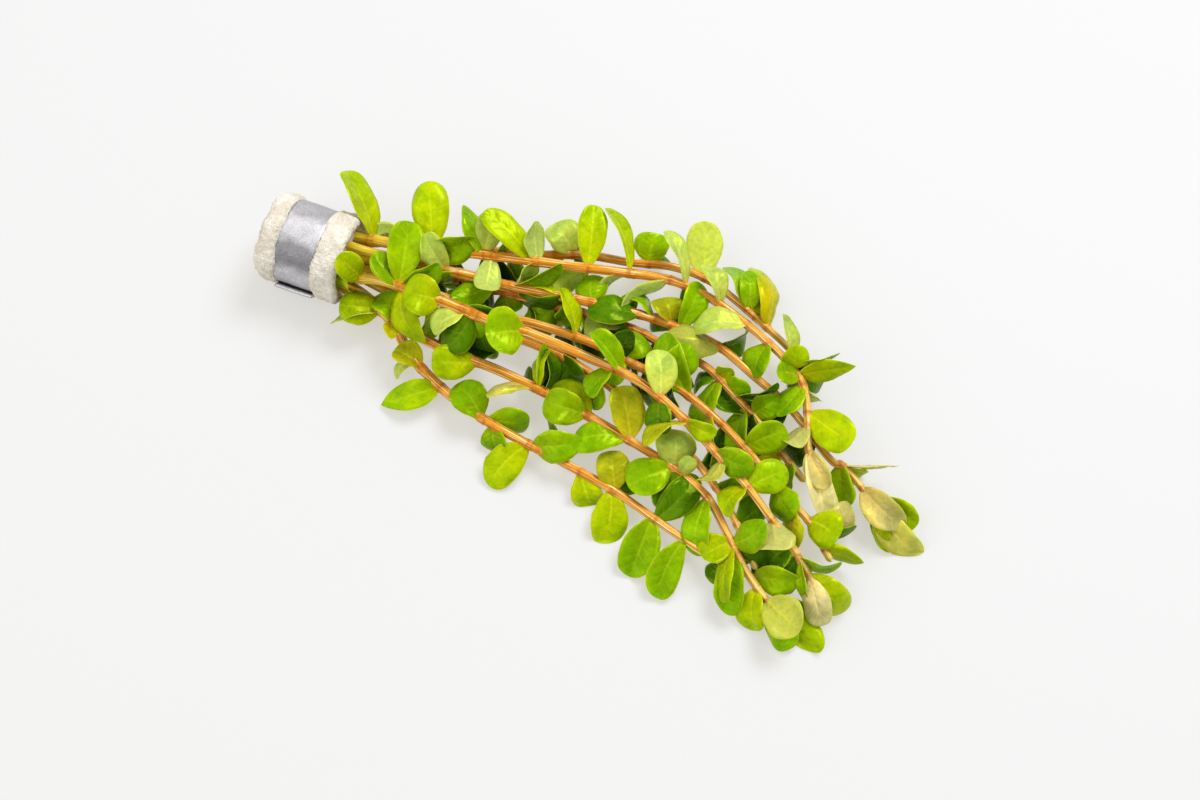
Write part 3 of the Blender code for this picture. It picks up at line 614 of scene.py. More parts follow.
def stemLine(shoot, step):
    radius = 0 if shoot["ring"] is None else growth["ringRadius"]
    ring = math.radians(shoot["ring"] or 0)
    start = [roundTheAxis(share * growth["cutEnds"], ring, radius) for share in (1, 1 / 3)]
    return smoothLine(start + [pointAt(a, d, h * mm) for a, d, h in shoot["line"]], step * mm)


def nearestOn(line, across, down):
    return min(line, key=lambda point: (pointAt(across, down, point.z) - point).length)


def bladeAxes(base, tip, turn):
    along = (tip - base).normalized()
    facing = (toViewer - along * toViewer.dot(along)).normalized()
    facing = Matrix.Rotation(math.radians(turn), 3, along) @ facing
    return along, facing, along.cross(facing)


def archOf(length, leaf):  # how far the bend moves the blade's middle
    return length / 2 * math.tan(math.radians(leaf.bend) / 4)


def solidPoints(base, tip, leaf, turn):  # the tip and both edges of the last section of a leaf's solid
    along, facing, across = bladeAxes(base, tip, turn)
    length = (tip - base).length
    share = growth["lastSections"][0 if leaf.width >= growth["broadLeaf"] else 1]
    middle = base + along * (length * share) + facing * (archOf(length, leaf) * 4 * share * (1 - share))
    reach = leaf.width * mm / 2 * math.sin(math.pi * share ** growth["lowWidth"]) ** growth["roundness"]
    fold = math.radians(leaf.fold / 2)
    side = across * (reach * math.cos(fold))
    lift = facing * (reach * math.sin(fold))
    return tip, middle + side + lift, middle - side + lift


def leafChanges():  # of rise and turn, the smallest first
    changes = [(rise, turn) for rise in growth["rises"] for turn in growth["turns"]]
    return sorted(changes, key=lambda change: abs(change[0]) + abs(change[1]) / growth["turnPerRise"])


def grownLeaves(name, shoot):
    # Each leaf was moved a little to clear the others, so its place is read from the solid.
    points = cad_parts[name].data.vertices
    tree = KDTree(len(points))
    for point in points:
        tree.insert(point.co, point.index)
    tree.balance()
    line = stemLine(shoot, growth["leafBaseStep"])[: -growth["bareTipSteps"]]

    def isGrown(base, tip, leaf, turn):
        return all(tree.find(each)[2] < growth["within"] * mm for each in solidPoints(base, tip, leaf, turn))

    found = []
    for leaf in shoot["leaves"]:
        base = nearestOn(line, leaf.baseAcross, leaf.baseDown)
        for rise, turn in leafChanges():
            tip = pointAt(leaf.tipAcross, leaf.tipDown, base.z + (leaf.rise + rise) * mm)
            if isGrown(base, tip, leaf, leaf.turn + turn):
                found.append((leaf, base, tip, leaf.turn + turn))
                break
    drawn = len(found)
    for leaf in shoot["leaves"]:
        base = nearestOn(line, leaf.baseAcross, leaf.baseDown)
        at = line.index(base)
        along = (line[min(at + 1, len(line) - 1)] - line[max(at - 1, 0)]).normalized()
        across = along.cross(toViewer).normalized()
        for angle in growth["hiddenAngles"]:
            out = Matrix.Rotation(math.radians(angle), 3, along) @ across
            tip = base + (out + along * growth["hiddenLean"]).normalized() * growth["hiddenLength"] * mm
            if isGrown(base, tip, hiddenLeaf, 0):
                found.append((hiddenLeaf, base, tip, 0))
    print(f"{name}: {drawn} of {len(shoot['leaves'])} leaves, {len(found) - drawn} hidden ones")
    return found


# Leaves low between the stems, which are too many for the plain solids
undergrowth = {
    "areas": (  # pixels, where the leaves stand close
        (
            (360, 244), (450, 262), (560, 268), (650, 288), (720, 330), (770, 395), (806, 470),
            (812, 520), (800, 545), (770, 545), (735, 500), (690, 440), (640, 400), (560, 350),
            (500, 335), (430, 345), (385, 310),
        ),
        ((690, 440), (735, 500), (770, 545), (800, 545), (800, 610), (760, 590), (735, 560), (700, 500)),
        ((800, 370), (806, 470), (860, 500), (900, 520), (880, 545), (820, 510), (790, 440), (780, 390)),
    ),
    "areaPoints": slice(4, None, 3),  # of a leaf's points, those that have to lie in an area
    "lineStep": 0.5,  # mm
    "spacing": 1.5,  # mm along a stem
    "bareTipSteps": 4,  # points of the line
    "tries": 60,
    "sizes": (((8.5, 13.0), (6.5, 9.0)), ((6.0, 9.0), (4.5, 6.5))),  # lengths and widths, mm
    "leans": (-0.2, 1.2),
    "angles": (160, 380),  # degrees round the stem, where 90 is towards the viewer
    "turns": (-70, 70),
    # the shade tone among these is painted shade
    "tones": ("dark", "shade", "mid", "shade", "dark", "olive"),
    "behind": 4,  # pixels from a drawn leaf or a stem, where a low leaf is always further from the viewer
    "shares": (0.25, 0.4, 0.55, 0.7, 0.85, 1.0),  # of a leaf's length, where it is tried for room
    "sides": (-1, -0.5, 0, 0.5, 1),  # and across it, from edge to edge
    "roundness": 0.5,  # a power, as in the solids
    "leafGap": 0.75,  # mm between the points that are tried
    "stemGap": 0.5,
    "lowest": 0.35,
    "sleeveGap": 1,  # mm
    "bareLength": 6,  # mm from the sleeve
    "seed": 11,
}


def bladePoints(base, tip, leaf, turn):
    along, facing, across = bladeAxes(base, tip, turn)
    length = (tip - base).length
    arch, fold = archOf(length, leaf), math.radians(leaf.fold / 2)
    found = []
    for share in undergrowth["shares"]:
        middle = base + along * (length * share) + facing * (arch * 4 * share * (1 - share))
        wide = math.sin(math.pi * share) ** undergrowth["roundness"] if share < 1 else 0
        reach = leaf.width * mm / 2 * wide
        for side in undergrowth["sides"] if reach else (0,):
            out = reach * side
            found.append(middle + across * (out * math.cos(fold)) + facing * (abs(out) * math.sin(fold)))
    return found


def isInside(area, across, down):
    inside = False
    for (startX, startY), (endX, endY) in zip(area, area[1:] + area[:1]):
        if (startY > down) != (endY > down):
            inside ^= across < startX + (endX - startX) * (down - startY) / (endY - startY)
    return inside


def treeOf(points):
    tree = KDTree(len(points))
    for i, point in enumerate(points):
        tree.insert(point, i)
    tree.balance()
    return tree


def moreLeaves(grown):
    # The rows of more leaves come first, each turned or raised until it has room. Then leaves are tried
    # along each stem, and those are kept that have room and lie low, where the leaves stand close.
    draw = random.Random(undergrowth["seed"])
    lines = {name: stemLine(shoot, undergrowth["lineStep"]) for name, shoot in shoots.items()}
    onStems = [point for line in lines.values() for point in line]
    stems = treeOf(onStems)
    taken = [
        point for leaves in grown.values() for leaf, base, tip, turn in leaves
        for point in bladePoints(base, tip, leaf, turn)
    ]
    takenTree = treeOf(taken)
    shown = taken + onStems
    shownTree = treeOf([Vector((*pixelsOf(point), 0)) for point in shown])
    nearness = [point.dot(toViewer) for point in shown]
    sleeveEnd = (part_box("foam_sleeve")[1][0] / mm + undergrowth["sleeveGap"]) * mm

    def isAmongLeaves(points):
        places = [pixelsOf(point) for point in points[undergrowth["areaPoints"]]]
        return all(any(isInside(area, *place) for area in undergrowth["areas"]) for place in places)

    def hasRoom(points, thick):
        return (
            min(point.z for point in points) > undergrowth["lowest"] * mm
            and min(point.x for point in points) > sleeveEnd
            and all(takenTree.find(point)[2] > undergrowth["leafGap"] * mm for point in points)
            and all(stems.find(point)[2] > thick + undergrowth["stemGap"] * mm for point in points)
        )

    def isBehind(point):
        around = shownTree.find_range(Vector((*pixelsOf(point), 0)), undergrowth["behind"])
        return all(nearness[i] > point.dot(toViewer) for _, i, _ in around)

    def keep(name, leaf, base, tip, turn, points):
        nonlocal takenTree
        grown[name].append((leaf, base, tip, turn))
        taken.extend(points)
        takenTree = treeOf(taken)

    rows = 0
    for name, shoot in shoots.items():
        for leaf in shoot.get("more", ()):
            base = nearestOn(lines[name], leaf.baseAcross, leaf.baseDown)
            for rise, turn in leafChanges():
                tip = pointAt(leaf.tipAcross, leaf.tipDown, base.z + (leaf.rise + rise) * mm)
                points = bladePoints(base, tip, leaf, leaf.turn + turn)
                if hasRoom(points, shoot["tipRadius"] * mm):
                    keep(name, leaf, base, tip, leaf.turn + turn, points)
                    rows += 1
                    break
            else:
                print("no room for", name, leaf)
    low = 0
    step = round(undergrowth["spacing"] / undergrowth["lineStep"])
    for (name, shoot), (lengths, widths) in itertools.product(shoots.items(), undergrowth["sizes"]):
        line, thick = lines[name], shoot["baseRadius"] * mm
        for at in range(step, len(line) - undergrowth["bareTipSteps"], step):
            base = line[at]
            if base.x < sleeveEnd + undergrowth["bareLength"] * mm:
                continue
            along = (line[at + 1] - line[at - 1]).normalized()
            side = along.cross(toViewer).normalized()
            for _ in range(undergrowth["tries"]):
                out = Matrix.Rotation(math.radians(draw.uniform(*undergrowth["angles"])), 3, along) @ side
                lean = draw.uniform(*undergrowth["leans"])
                tip = base + (out + along * lean).normalized() * draw.uniform(*lengths) * mm
                leaf = Leaf(draw.choice(undergrowth["tones"]), 0, 0, 0, 0, 0, draw.uniform(*widths))
                turn = draw.uniform(*undergrowth["turns"])
                points = bladePoints(base, tip, leaf, turn)
                if isAmongLeaves(points) and hasRoom(points, thick) and all(map(isBehind, points)):
                    keep(name, leaf, base, tip, turn, points)
                    low += 1
                    break
    print(f"{rows} more leaves, {low} low ones")


# Leaves and stems
leafStyle = {
    "rows": 19,
    "columns": 11,
    "gathered": 0.55,  # more brings the columns closer at the midrib, and 0 spaces them evenly
    "broad": 1.14,  # times the width of the plain solid
    "baseTaper": 0.7,  # powers: less is blunter
    "tipTapers": (0.34, 0.5),
    "thickness": 0.36,  # mm
    "edgeThinner": 0.65,  # shares of the thickness that are gone at the edges and at the tip
    "tipThinner": 0.6,
    "tipThinnerPower": 6,
    "stalk": 0.45,  # mm, half its width
    "stalkNarrower": 0.8,  # share of that width that is gone at the tip
    "groove": 0.08,  # mm, the midrib on the upper side
    "rib": 0.2,  # mm, and on the underside
    "ribWidth": 0.45,
    "creaseSoftness": 0.02,
    "wave": 0.09,  # of the half width, at the edges
    "waves": (1.4, 0.3),  # how many from base to tip, and from midrib to edge
    "pucker": 0.38,  # mm
    "puckerSize": 3.6,  # mm
    "puckerDetail": 1.5,
    "crumpled": 2.2,  # times the pucker, for the young pale leaves
    "crumpledTones": ("cream", "yellow", "bleached"),
    "uneven": 0.13,  # of the half width
    "unevenSteps": 3.2,  # from base to tip
    "noiseSteps": (4, 40, 60),  # so that the sides, the leaves' outlines and their puckers differ
    "cups": (-0.5, 0.2),
    "curls": (-0.4, 0.1),
    "curlFrom": 0.5,  # share of the length where the curl starts
    "twists": (-40, 40),  # degrees
    "untwisted": 0.4,  # place along the leaf that the twist leaves level
    "sweeps": (-0.08, 0.08),  # of the length, sideways
    "shades": (0.88, 1.12),  # times the tone
    "floor": 0.12,  # mm, the lowest that a blade lies
    "seed": 4,
    "look": {
        "shader": {
            "Roughness": 0.3,
            "Specular IOR Level": 0.42,
            "Specular Tint": (0.88, 1.0, 0.1, 1),
            "Subsurface Weight": 0.4,
            "Subsurface Radius": (0.8, 1.0, 0.05),
            "Subsurface Scale": 0.9 * mm,
        },
        "patches": (210, 2.0),  # scale of a noise, and its detail where that isn't 3
        "darkPatches": (0.42, 0.68, 0.6, (0.58, 0.58, 0.58)),  # a tint, with factors of the leaf's tone
        "lightPatches": (0.47, 0.32, 0.6, (1.45, 1.15, 1.0)),
        "baseFade": 1.8,  # a power: more keeps the lighter base shorter
        "baseStrength": 0.6,
        "baseColour": (1.7, 1.15, 1.0),
        "underPatches": 0.45,
        "veins": (6.5, 1.9, 0.7),  # how many along the leaf, how much they slant and how much they bend
        "veinFade": (1.0, 0.35),  # of the half width
        "veinGaps": (400,),
        "veinGapRange": (0.25, 0.55),
        # painted shade: a darker band along each side vein, as shade in its groove
        "veinGrooveShade": (-0.1, 0.9, 0.16, (0.62, 0.76, 0.8)),
        "onVeins": (0.82, 1.0),
        "veinStrength": 0.28,
        "ribWidth": 0.26,  # mm
        "ribFade": (1.0, 0.5),  # of the length
        "ribStrength": 0.55,
        "ribFactors": (1.6, 1.3, 1.5),
        "ribAdded": (0.05, 0.05, 0.02),
        "edges": (0.9, 1.0, 0.5, (0.55, 0.55, 0.05)),
        "specks": (950,),
        "speckTint": (0.4, 0.7, 0.22, (0.45, 0.45, 0.45)),
        "gloss": (500, 2.0),
        "glossRange": (0.12, 0.42),  # roughness
        "bumps": (420,),
        "veinBump": -0.3,
        "bumpHeight": 1.8,
        "bumpStrength": 0.6,
        "bumpDepth": 0.15,  # mm
    },
}
stemStyle = {
    "step": 0.7,  # mm
    "fullness": 1.09,  # times the radius of the plain solid
    "sides": 16,
    "ridges": 4,
    "ridgeDepth": 0.06,
    "nodeSwelling": 0.13,
    "nodeWidth": 0.75,  # mm
    "endRounding": 1.2,
    "endBluntness": 0.03,  # share of the radius, squared, that the tip keeps
    "cutRims": ((0.25, 1.0), (0.5, 0.75), (0.74, 0.7), (0.9, 0.4)),  # radius, and place in the colours
    "rimGap": 0.02,  # mm
    "look": {
        "shader": {
            "Roughness": 0.24,
            "Specular IOR Level": 0.6,
            "Specular Tint": (1.0, 0.82, 0.35, 1),
            "Subsurface Weight": 0.15,
            "Subsurface Radius": (1.0, 0.5, 0.05),
            "Subsurface Scale": 0.6 * mm,
        },
        "stops": (  # colours from the cut end to the tip
            (0.0, (0.60, 0.58, 0.020)),
            (0.13, (0.62, 0.48, 0.008)),
            (0.3, (0.63, 0.275, 0.010)),
            (0.7, (0.65, 0.270, 0.026)),
            (0.9, (0.74, 0.42, 0.08)),
            (1.0, (0.72, 0.66, 0.20)),
        ),
        "streakSteps": (2.4, 7),  # round the stem, and along it
        "streaks": (1.7,),
        # pale pink streaks: partly the stem's own streaking, partly painted highlight
        "paleStreaksAndHighlight": (0.54, 0.64, 0.85, (1.0, 0.76, 0.42)),
        # dark red streaks: partly the stem's own streaking, partly painted shade
        "darkStreaksAndShade": (0.47, 0.34, 0.65, (0.46, 0.12, 0.008)),
        "darkStreakStart": (0.0, 0.3),  # of the length
        "grooveSteps": 9,
        "grooveWander": 9,
        # painted shade: darker red in the grooves between the ridges
        "grooveShade": (-0.5, -0.9, 0.4, (0.42, 0.11, 0.006)),
        "grooveStart": (0.0, 0.2),
        "ringGrain": (800,),
        "rings": (0.3, 0.6, 0.8, (0.36, 0.09, 0.006)),
        "cutColours": (
            (0.0, 0.4, 1, (0.42, 0.44, 0.10)),
            (0.5, 0.75, 1, (0.66, 0.66, 0.36)),
            (0.8, 1.0, 1, (0.52, 0.48, 0.20)),
        ),
        "bumps": (1500,),
        "streakBump": 1.4,
        "bumpHeight": 0.3,
        "ringBump": 0.2,
        "bumpStrength": 0.7,
        "bumpDepth": 0.18,  # mm
    },
}
# Inputs of the node tree that every shoot gets
shootInputs = (
    ("Leaf rows", "Int", leafStyle["rows"]),
    ("Leaf columns", "Int", leafStyle["columns"]),
    ("Leaf thickness", "Float", leafStyle["thickness"] * mm),
    ("Base taper", "Float", leafStyle["baseTaper"]),
    ("Stalk", "Float", leafStyle["stalk"] * mm),
    ("Groove", "Float", leafStyle["groove"] * mm),
    ("Rib", "Float", leafStyle["rib"] * mm),
    ("Rib width", "Float", leafStyle["ribWidth"] * mm),
    ("Wave", "Float", leafStyle["wave"]),
    ("Pucker", "Float", leafStyle["pucker"] * mm),
    ("Pucker size", "Float", leafStyle["puckerSize"] * mm),
    ("Uneven", "Float", leafStyle["uneven"]),
    ("Floor", "Float", leafStyle["floor"] * mm),
    ("Stem sides", "Int", stemStyle["sides"]),
    ("Ridges", "Float", float(stemStyle["ridges"])),
    ("Ridge depth", "Float", stemStyle["ridgeDepth"]),
)


def leafFinish():
    look = leafStyle["look"]
    material, tree, shader = finish("rotala leaf", look["shader"])
    across, along, upper = attribute(tree, "leafSpot").parts()
    place = objectPlace(tree)
    tone, under = attribute(tree, "leafTone"), attribute(tree, "leafUnder")
    patches = cloud(tree, place, *look["patches"])
    top = tinted(tree, tone, patches, look["darkPatches"], of=tone)
    top = tinted(tree, top, patches, look["lightPatches"], of=tone)
    atBase = (1 - along) ** look["baseFade"] * look["baseStrength"]
    top = mixed(tree, atBase, top, tone.times(look["baseColour"]))
    bottom = mixed(tree, patches * look["underPatches"], under, tone)
    colour = mixed(tree, upper, bottom, top)
    # The side veins leave the midrib at a slant and bend towards the tip.
    count, slant, bend = look["veins"]
    aside = across.abs()
    veins = ((along * count - aside * slant + across * across * bend) * (2 * math.pi)).cos()
    shown = aside.ramp(*look["veinFade"]) * cloud(tree, place, *look["veinGaps"]).ramp(*look["veinGapRange"])
    # Painted shade along the side veins, and then their paler lines
    colour = tinted(tree, colour, veins, look["veinGrooveShade"], shown, tone)
    onVein = veins.ramp(*look["onVeins"]) * shown * look["veinStrength"]
    fromMiddle = (across * number(tree, "leafReach") * (1 / mm)).abs()
    onRib = fromMiddle.bell(look["ribWidth"]) * along.ramp(*look["ribFade"]) * look["ribStrength"]
    colour = mixed(tree, onVein + onRib, colour, tone.times(look["ribFactors"]) + look["ribAdded"])
    colour = tinted(tree, colour, aside, look["edges"])
    colour = tinted(tree, colour, cloud(tree, place, *look["specks"]), look["speckTint"], of=tone)
    feed(tree, shader.inputs["Base Color"], colour)
    smooth, rough = look["glossRange"]
    feed(tree, shader.inputs["Roughness"], cloud(tree, place, *look["gloss"]) * (rough - smooth) + smooth)
    height = veins * shown * look["veinBump"] + cloud(tree, place, *look["bumps"]) * look["bumpHeight"]
    bumped(tree, shader, height, look["bumpStrength"], look["bumpDepth"] * mm)
    return material


def stemFinish():
    look = stemStyle["look"]
    material, tree, shader = finish("rotala stem", look["shader"])
    along, ring, cut = (number(tree, name) for name in ("stemAlong", "stemRing", "stemCut"))
    place = objectPlace(tree)
    ramp = addNode(tree, "ShaderNodeValToRGB", {"Fac": along})
    elements = ramp.color_ramp.elements
    while len(elements) < len(look["stops"]):
        elements.new(0.5)
    for element, (position, colour) in zip(elements, look["stops"]):
        element.position = position
        element.color = (*colour, 1)
    colour = Field(tree, ramp.outputs["Color"])
    x, y, _ = attribute(tree, "stemSide").parts()
    stepRound, stepAlong = look["streakSteps"]
    streakPlace = combined(tree, x * stepRound, y * stepRound, along * stepAlong)
    streak = cloud(tree, streakPlace, *look["streaks"])
    wander = cloud(tree, combined(tree, 0.5, 0.5, along * look["grooveSteps"]), 1.0) - 0.5
    groove = (y.calc("ARCTAN2", y, x) * stemStyle["ridges"] + wander * look["grooveWander"]).cos()
    # Painted shade in the grooves between the stem's ridges
    colour = tinted(tree, colour, groove, look["grooveShade"], along.ramp(*look["grooveStart"]))
    # Streaks along the stem, pale and dark: partly its own streaking, partly painted highlight and painted
    # shade
    colour = tinted(tree, colour, streak, look["paleStreaksAndHighlight"])
    colour = tinted(tree, colour, streak, look["darkStreaksAndShade"], along.ramp(*look["darkStreakStart"]))
    colour = tinted(tree, colour, cloud(tree, place, *look["ringGrain"]), look["rings"], ring)
    for tint in look["cutColours"]:
        colour = tinted(tree, colour, cut, tint)
    feed(tree, shader.inputs["Base Color"], colour)
    height = streak * look["streakBump"] + cloud(tree, place, *look["bumps"]) * look["bumpHeight"]
    bumped(tree, shader, height + ring * look["ringBump"], look["bumpStrength"], look["bumpDepth"] * mm)
    return material


def named(tree, name, kind="FLOAT"):
    made = addNode(tree, "GeometryNodeInputNamedAttribute", {"Name": name}, data_type=kind)
    return Field(tree, made.outputs["Attribute"])


def stored(tree, geometry, name, value, kind="FLOAT"):
    inputs = {"Geometry": geometry, "Name": name, "Value": value}
    made = addNode(tree, "GeometryNodeStoreNamedAttribute", inputs, data_type=kind, domain="POINT")
    return made.outputs[0]


def shootTree():
    # Grows a stem along the object's line, and a blade at each point of the object of leaves.
    tree = bpy.data.node_groups.new("rotala shoot", "GeometryNodeTree")
    tree.interface.new_socket("Geometry", in_out="OUTPUT", socket_type="NodeSocketGeometry")
    for name, kind, *_ in (
        ("Stem line", "Geometry"), ("Leaves", "Object"), *shootInputs,
        ("Leaf finish", "Material"), ("Stem finish", "Material"),
    ):
        tree.interface.new_socket(name, in_out="INPUT", socket_type=f"NodeSocket{kind}")
    offered = tree.nodes.new("NodeGroupInput").outputs
    asked = {socket.name: Field(tree, socket) for socket in offered if socket.name}

    # A blade starts as a slab: x is across, y along, and z from the underside to the upper side.
    slab = addNode(tree, "GeometryNodeMeshCube", {
        "Size": (2, 1, 1),
        "Vertices X": asked["Leaf columns"],
        "Vertices Y": asked["Leaf rows"],
        "Vertices Z": 2,
    }).outputs["Mesh"]
    position = Field(tree, addNode(tree, "GeometryNodeInputPosition").outputs[0])
    slab = stored(tree, slab, "leafPlace", position, "FLOAT_VECTOR")
    leaves = addNode(tree, "GeometryNodeObjectInfo", {"Object": asked["Leaves"]}).outputs["Geometry"]
    blades = addNode(tree, "GeometryNodeInstanceOnPoints", {"Points": leaves, "Instance": slab}).outputs[0]
    blades = addNode(tree, "GeometryNodeRealizeInstances", {"Geometry": blades}).outputs[0]

    # Its outline
    x, y, z = named(tree, "leafPlace", "FLOAT_VECTOR").parts()
    share = 0.5 - ((y + 0.5) * math.pi).cos() * 0.5
    across = x * (x.abs() * leafStyle["gathered"] + (1 - leafStyle["gathered"]))
    square = across * across
    length, phase = named(tree, "leafLength"), named(tree, "leafPhase")
    outline = share ** asked["Base taper"] * (1 - share).atLeast(0) ** named(tree, "leafTip")
    outline = outline / named(tree, "leafPeak")
    sideStep, leafStep, puckerStep = leafStyle["noiseSteps"]
    sidePlace = x.calc("SIGN", x) * sideStep + phase * leafStep
    sidePlace = combined(tree, share * leafStyle["unevenSteps"], sidePlace, 0.5)
    outline = outline * (1 + (cloud(tree, sidePlace, 1.0, 1.0) - 0.5) * 2 * asked["Uneven"])
    stalk = asked["Stalk"] * (1 - share * leafStyle["stalkNarrower"])
    reach = (named(tree, "leafWidth") * 0.5 * outline).atLeast(stalk)

    # Its fold, waves, puckers, rib and thickness
    fold = named(tree, "leafFold")
    soft = leafStyle["creaseSoftness"]
    crease = ((square + soft).sqrt() - math.sqrt(soft)) / (math.sqrt(1 + soft) - math.sqrt(soft))
    wavesAlong, wavesAcross = leafStyle["waves"]
    ripple = ((share * wavesAlong + across * wavesAcross + phase) * (2 * math.pi)).sin() * asked["Wave"]
    lift = (fold.sin() * crease + (ripple + named(tree, "leafCup")) * square) * reach
    size = asked["Pucker size"]
    puckerPlace = combined(tree, across * reach / size, share * length / size, phase * puckerStep)
    pucker = (cloud(tree, puckerPlace, 1.0, leafStyle["puckerDetail"]) - 0.5) * 2 * asked["Pucker"]
    lift = lift + pucker * named(tree, "leafPucker")
    rib = (across * reach).bell(asked["Rib width"]) * (1 - share).sqrt()
    thinnerTip = share ** leafStyle["tipThinnerPower"] * leafStyle["tipThinner"]
    thickness = asked["Leaf thickness"] * (1 - square * leafStyle["edgeThinner"]) * (1 - thinnerTip)
    level = z * thickness - rib * (asked["Rib"] - (asked["Rib"] - asked["Groove"]) * (z + 0.5))

    # Its twist, curl, sweep and arch, and its place
    middle = 4 * share * (1 - share)
    spread = fold.cos() * across * reach + named(tree, "leafSweep") * length * middle
    turned = named(tree, "leafTwist") * (share - leafStyle["untwisted"])
    curl = (share - leafStyle["curlFrom"]).atLeast(0) ** 2 / (1 - leafStyle["curlFrom"]) ** 2
    curl = named(tree, "leafCurl") * length * curl
    sideways = spread * turned.cos() - (lift + level) * turned.sin()
    upwards = spread * turned.sin() + (lift + level) * turned.cos() + named(tree, "leafArch") * middle + curl
    place = (
        named(tree, "leafBase", "FLOAT_VECTOR")
        + named(tree, "leafAlong", "FLOAT_VECTOR") * (length * share)
        + named(tree, "leafAcross", "FLOAT_VECTOR") * sideways
        + named(tree, "leafFacing", "FLOAT_VECTOR") * upwards
    )
    placeX, placeY, placeZ = place.parts()
    place = combined(tree, placeX, placeY, placeZ.atLeast(asked["Floor"] * (1 + z)))
    blades = stored(tree, blades, "leafReach", reach)
    blades = stored(tree, blades, "leafSpot", combined(tree, across, share, z + 0.5), "FLOAT_VECTOR")
    blades = addNode(tree, "GeometryNodeSetPosition", {"Geometry": blades, "Position": place}).outputs[0]

    # The stem
    circle = addNode(tree, "GeometryNodeCurvePrimitiveCircle", {
        "Resolution": asked["Stem sides"], "Radius": 1.0,
    }).outputs["Curve"]
    x, y, _ = position.parts()
    turned = position.calc("ARCTAN2", y, x)
    ridged = position * (1 + (turned * asked["Ridges"]).cos() * asked["Ridge depth"])
    circle = stored(tree, circle, "stemSide", position, "FLOAT_VECTOR")
    circle = addNode(tree, "GeometryNodeSetPosition", {"Geometry": circle, "Position": ridged}).outputs[0]
    stem = addNode(tree, "GeometryNodeMeshToCurve", {"Mesh": asked["Stem line"]}).outputs[0]
    stem = addNode(tree, "GeometryNodeCurveToMesh", {
        "Curve": stem, "Profile Curve": circle, "Scale": named(tree, "stemRadius"), "Fill Caps": True,
    }).outputs[0]

    joined = tree.nodes.new("GeometryNodeJoinGeometry")
    tree.links.new(stem, joined.inputs[0])
    tree.links.new(blades, joined.inputs[0])
    plant = addNode(tree, "GeometryNodeSetShadeSmooth", {"Geometry": joined.outputs[0]}).outputs[0]
    plant = addNode(tree, "GeometryNodeRealizeInstances", {"Geometry": plant}).outputs[0]
    isBlade = named(tree, "leafReach").calc("GREATER_THAN", named(tree, "leafReach"), 0.0)
    for inputs in (
        {"Material": asked["Stem finish"]},
        {"Material": asked["Leaf finish"], "Selection": isBlade},
    ):
        plant = addNode(tree, "GeometryNodeSetMaterial", {"Geometry": plant, **inputs}).outputs[0]
    tree.links.new(plant, tree.nodes.new("NodeGroupOutput").inputs[0])
    return tree


def shootPoints(line, shoot):
    # Each row is a point, its radius, its share of the length and its place in the cut's colours. The rims
    # on the cut end come first, and the tip is rounded.
    length = sum((b - a).length for a, b in zip(line, line[1:]))
    start = (line[1] - line[0]).normalized() * stemStyle["rimGap"] * mm
    baseRadius, tipRadius = (shoot[key] * stemStyle["fullness"] * mm for key in ("baseRadius", "tipRadius"))
    rims = stemStyle["cutRims"]
    rows = [(line[0] + start * i, baseRadius * rim, 0.0, depth) for i, (rim, depth) in enumerate(rims)]
    gone = 0.0
    for i, point in enumerate(line):
        gone += (point - line[i - 1]).length if i else 0.0
        radius = baseRadius + (tipRadius - baseRadius) * gone / length
        left = (length - gone) / (stemStyle["endRounding"] * mm)
        if left < 1:
            radius *= math.sqrt(max(stemStyle["endBluntness"], 1 - (1 - left) ** 2))
        rows.append((point + start * (len(rims) if i == 0 else 0), radius, gone / length, 0.0))
    return rows


def chosen(value, otherwise):
    return otherwise if value is None else value


def addAttribute(mesh, name, values):
    isVector = isinstance(values[0], Vector)
    made = mesh.attributes.new(name, "FLOAT_VECTOR" if isVector else "FLOAT", "POINT")
    if isVector:
        made.data.foreach_set("vector", [part for value in values for part in value])
    else:
        made.data.foreach_set("value", values)


def leafValues(leaf, base, tip, turn, draw):  # attributes that the node tree reads, drawn in this order
    along, facing, across = bladeAxes(base, tip, turn)
    length = (tip - base).length
    shade = draw.uniform(*leafStyle["shades"])
    baseTaper, tipTaper = leafStyle["baseTaper"], chosen(leaf.point, draw.uniform(*leafStyle["tipTapers"]))
    widest = baseTaper / (baseTaper + tipTaper)  # share of the length
    tone, under = leafTones[leaf.tone]
    return {
        "leafBase": base,
        "leafAlong": along,
        "leafFacing": facing,
        "leafAcross": across,
        "leafTone": Vector(tone) * shade,
        "leafUnder": Vector(under) * shade,
        "leafLength": length,
        "leafWidth": leaf.width * chosen(leaf.broad, leafStyle["broad"]) * mm,
        "leafArch": archOf(length, leaf) + length * leaf.raised,
        "leafFold": math.radians(leaf.fold / 2),
        "leafPhase": draw.random(),
        "leafCup": chosen(leaf.cup, draw.uniform(*leafStyle["cups"])),
        "leafCurl": chosen(leaf.curl, draw.uniform(*leafStyle["curls"])),
        "leafTwist": math.radians(chosen(leaf.twist, draw.uniform(*leafStyle["twists"]))),
        "leafSweep": chosen(leaf.sweep, draw.uniform(*leafStyle["sweeps"])),
        "leafTip": tipTaper,
        "leafPeak": widest**baseTaper * (1 - widest) ** tipTaper,
        "leafPucker": leafStyle["crumpled"] if leaf.tone in leafStyle["crumpledTones"] else 1.0,
    }


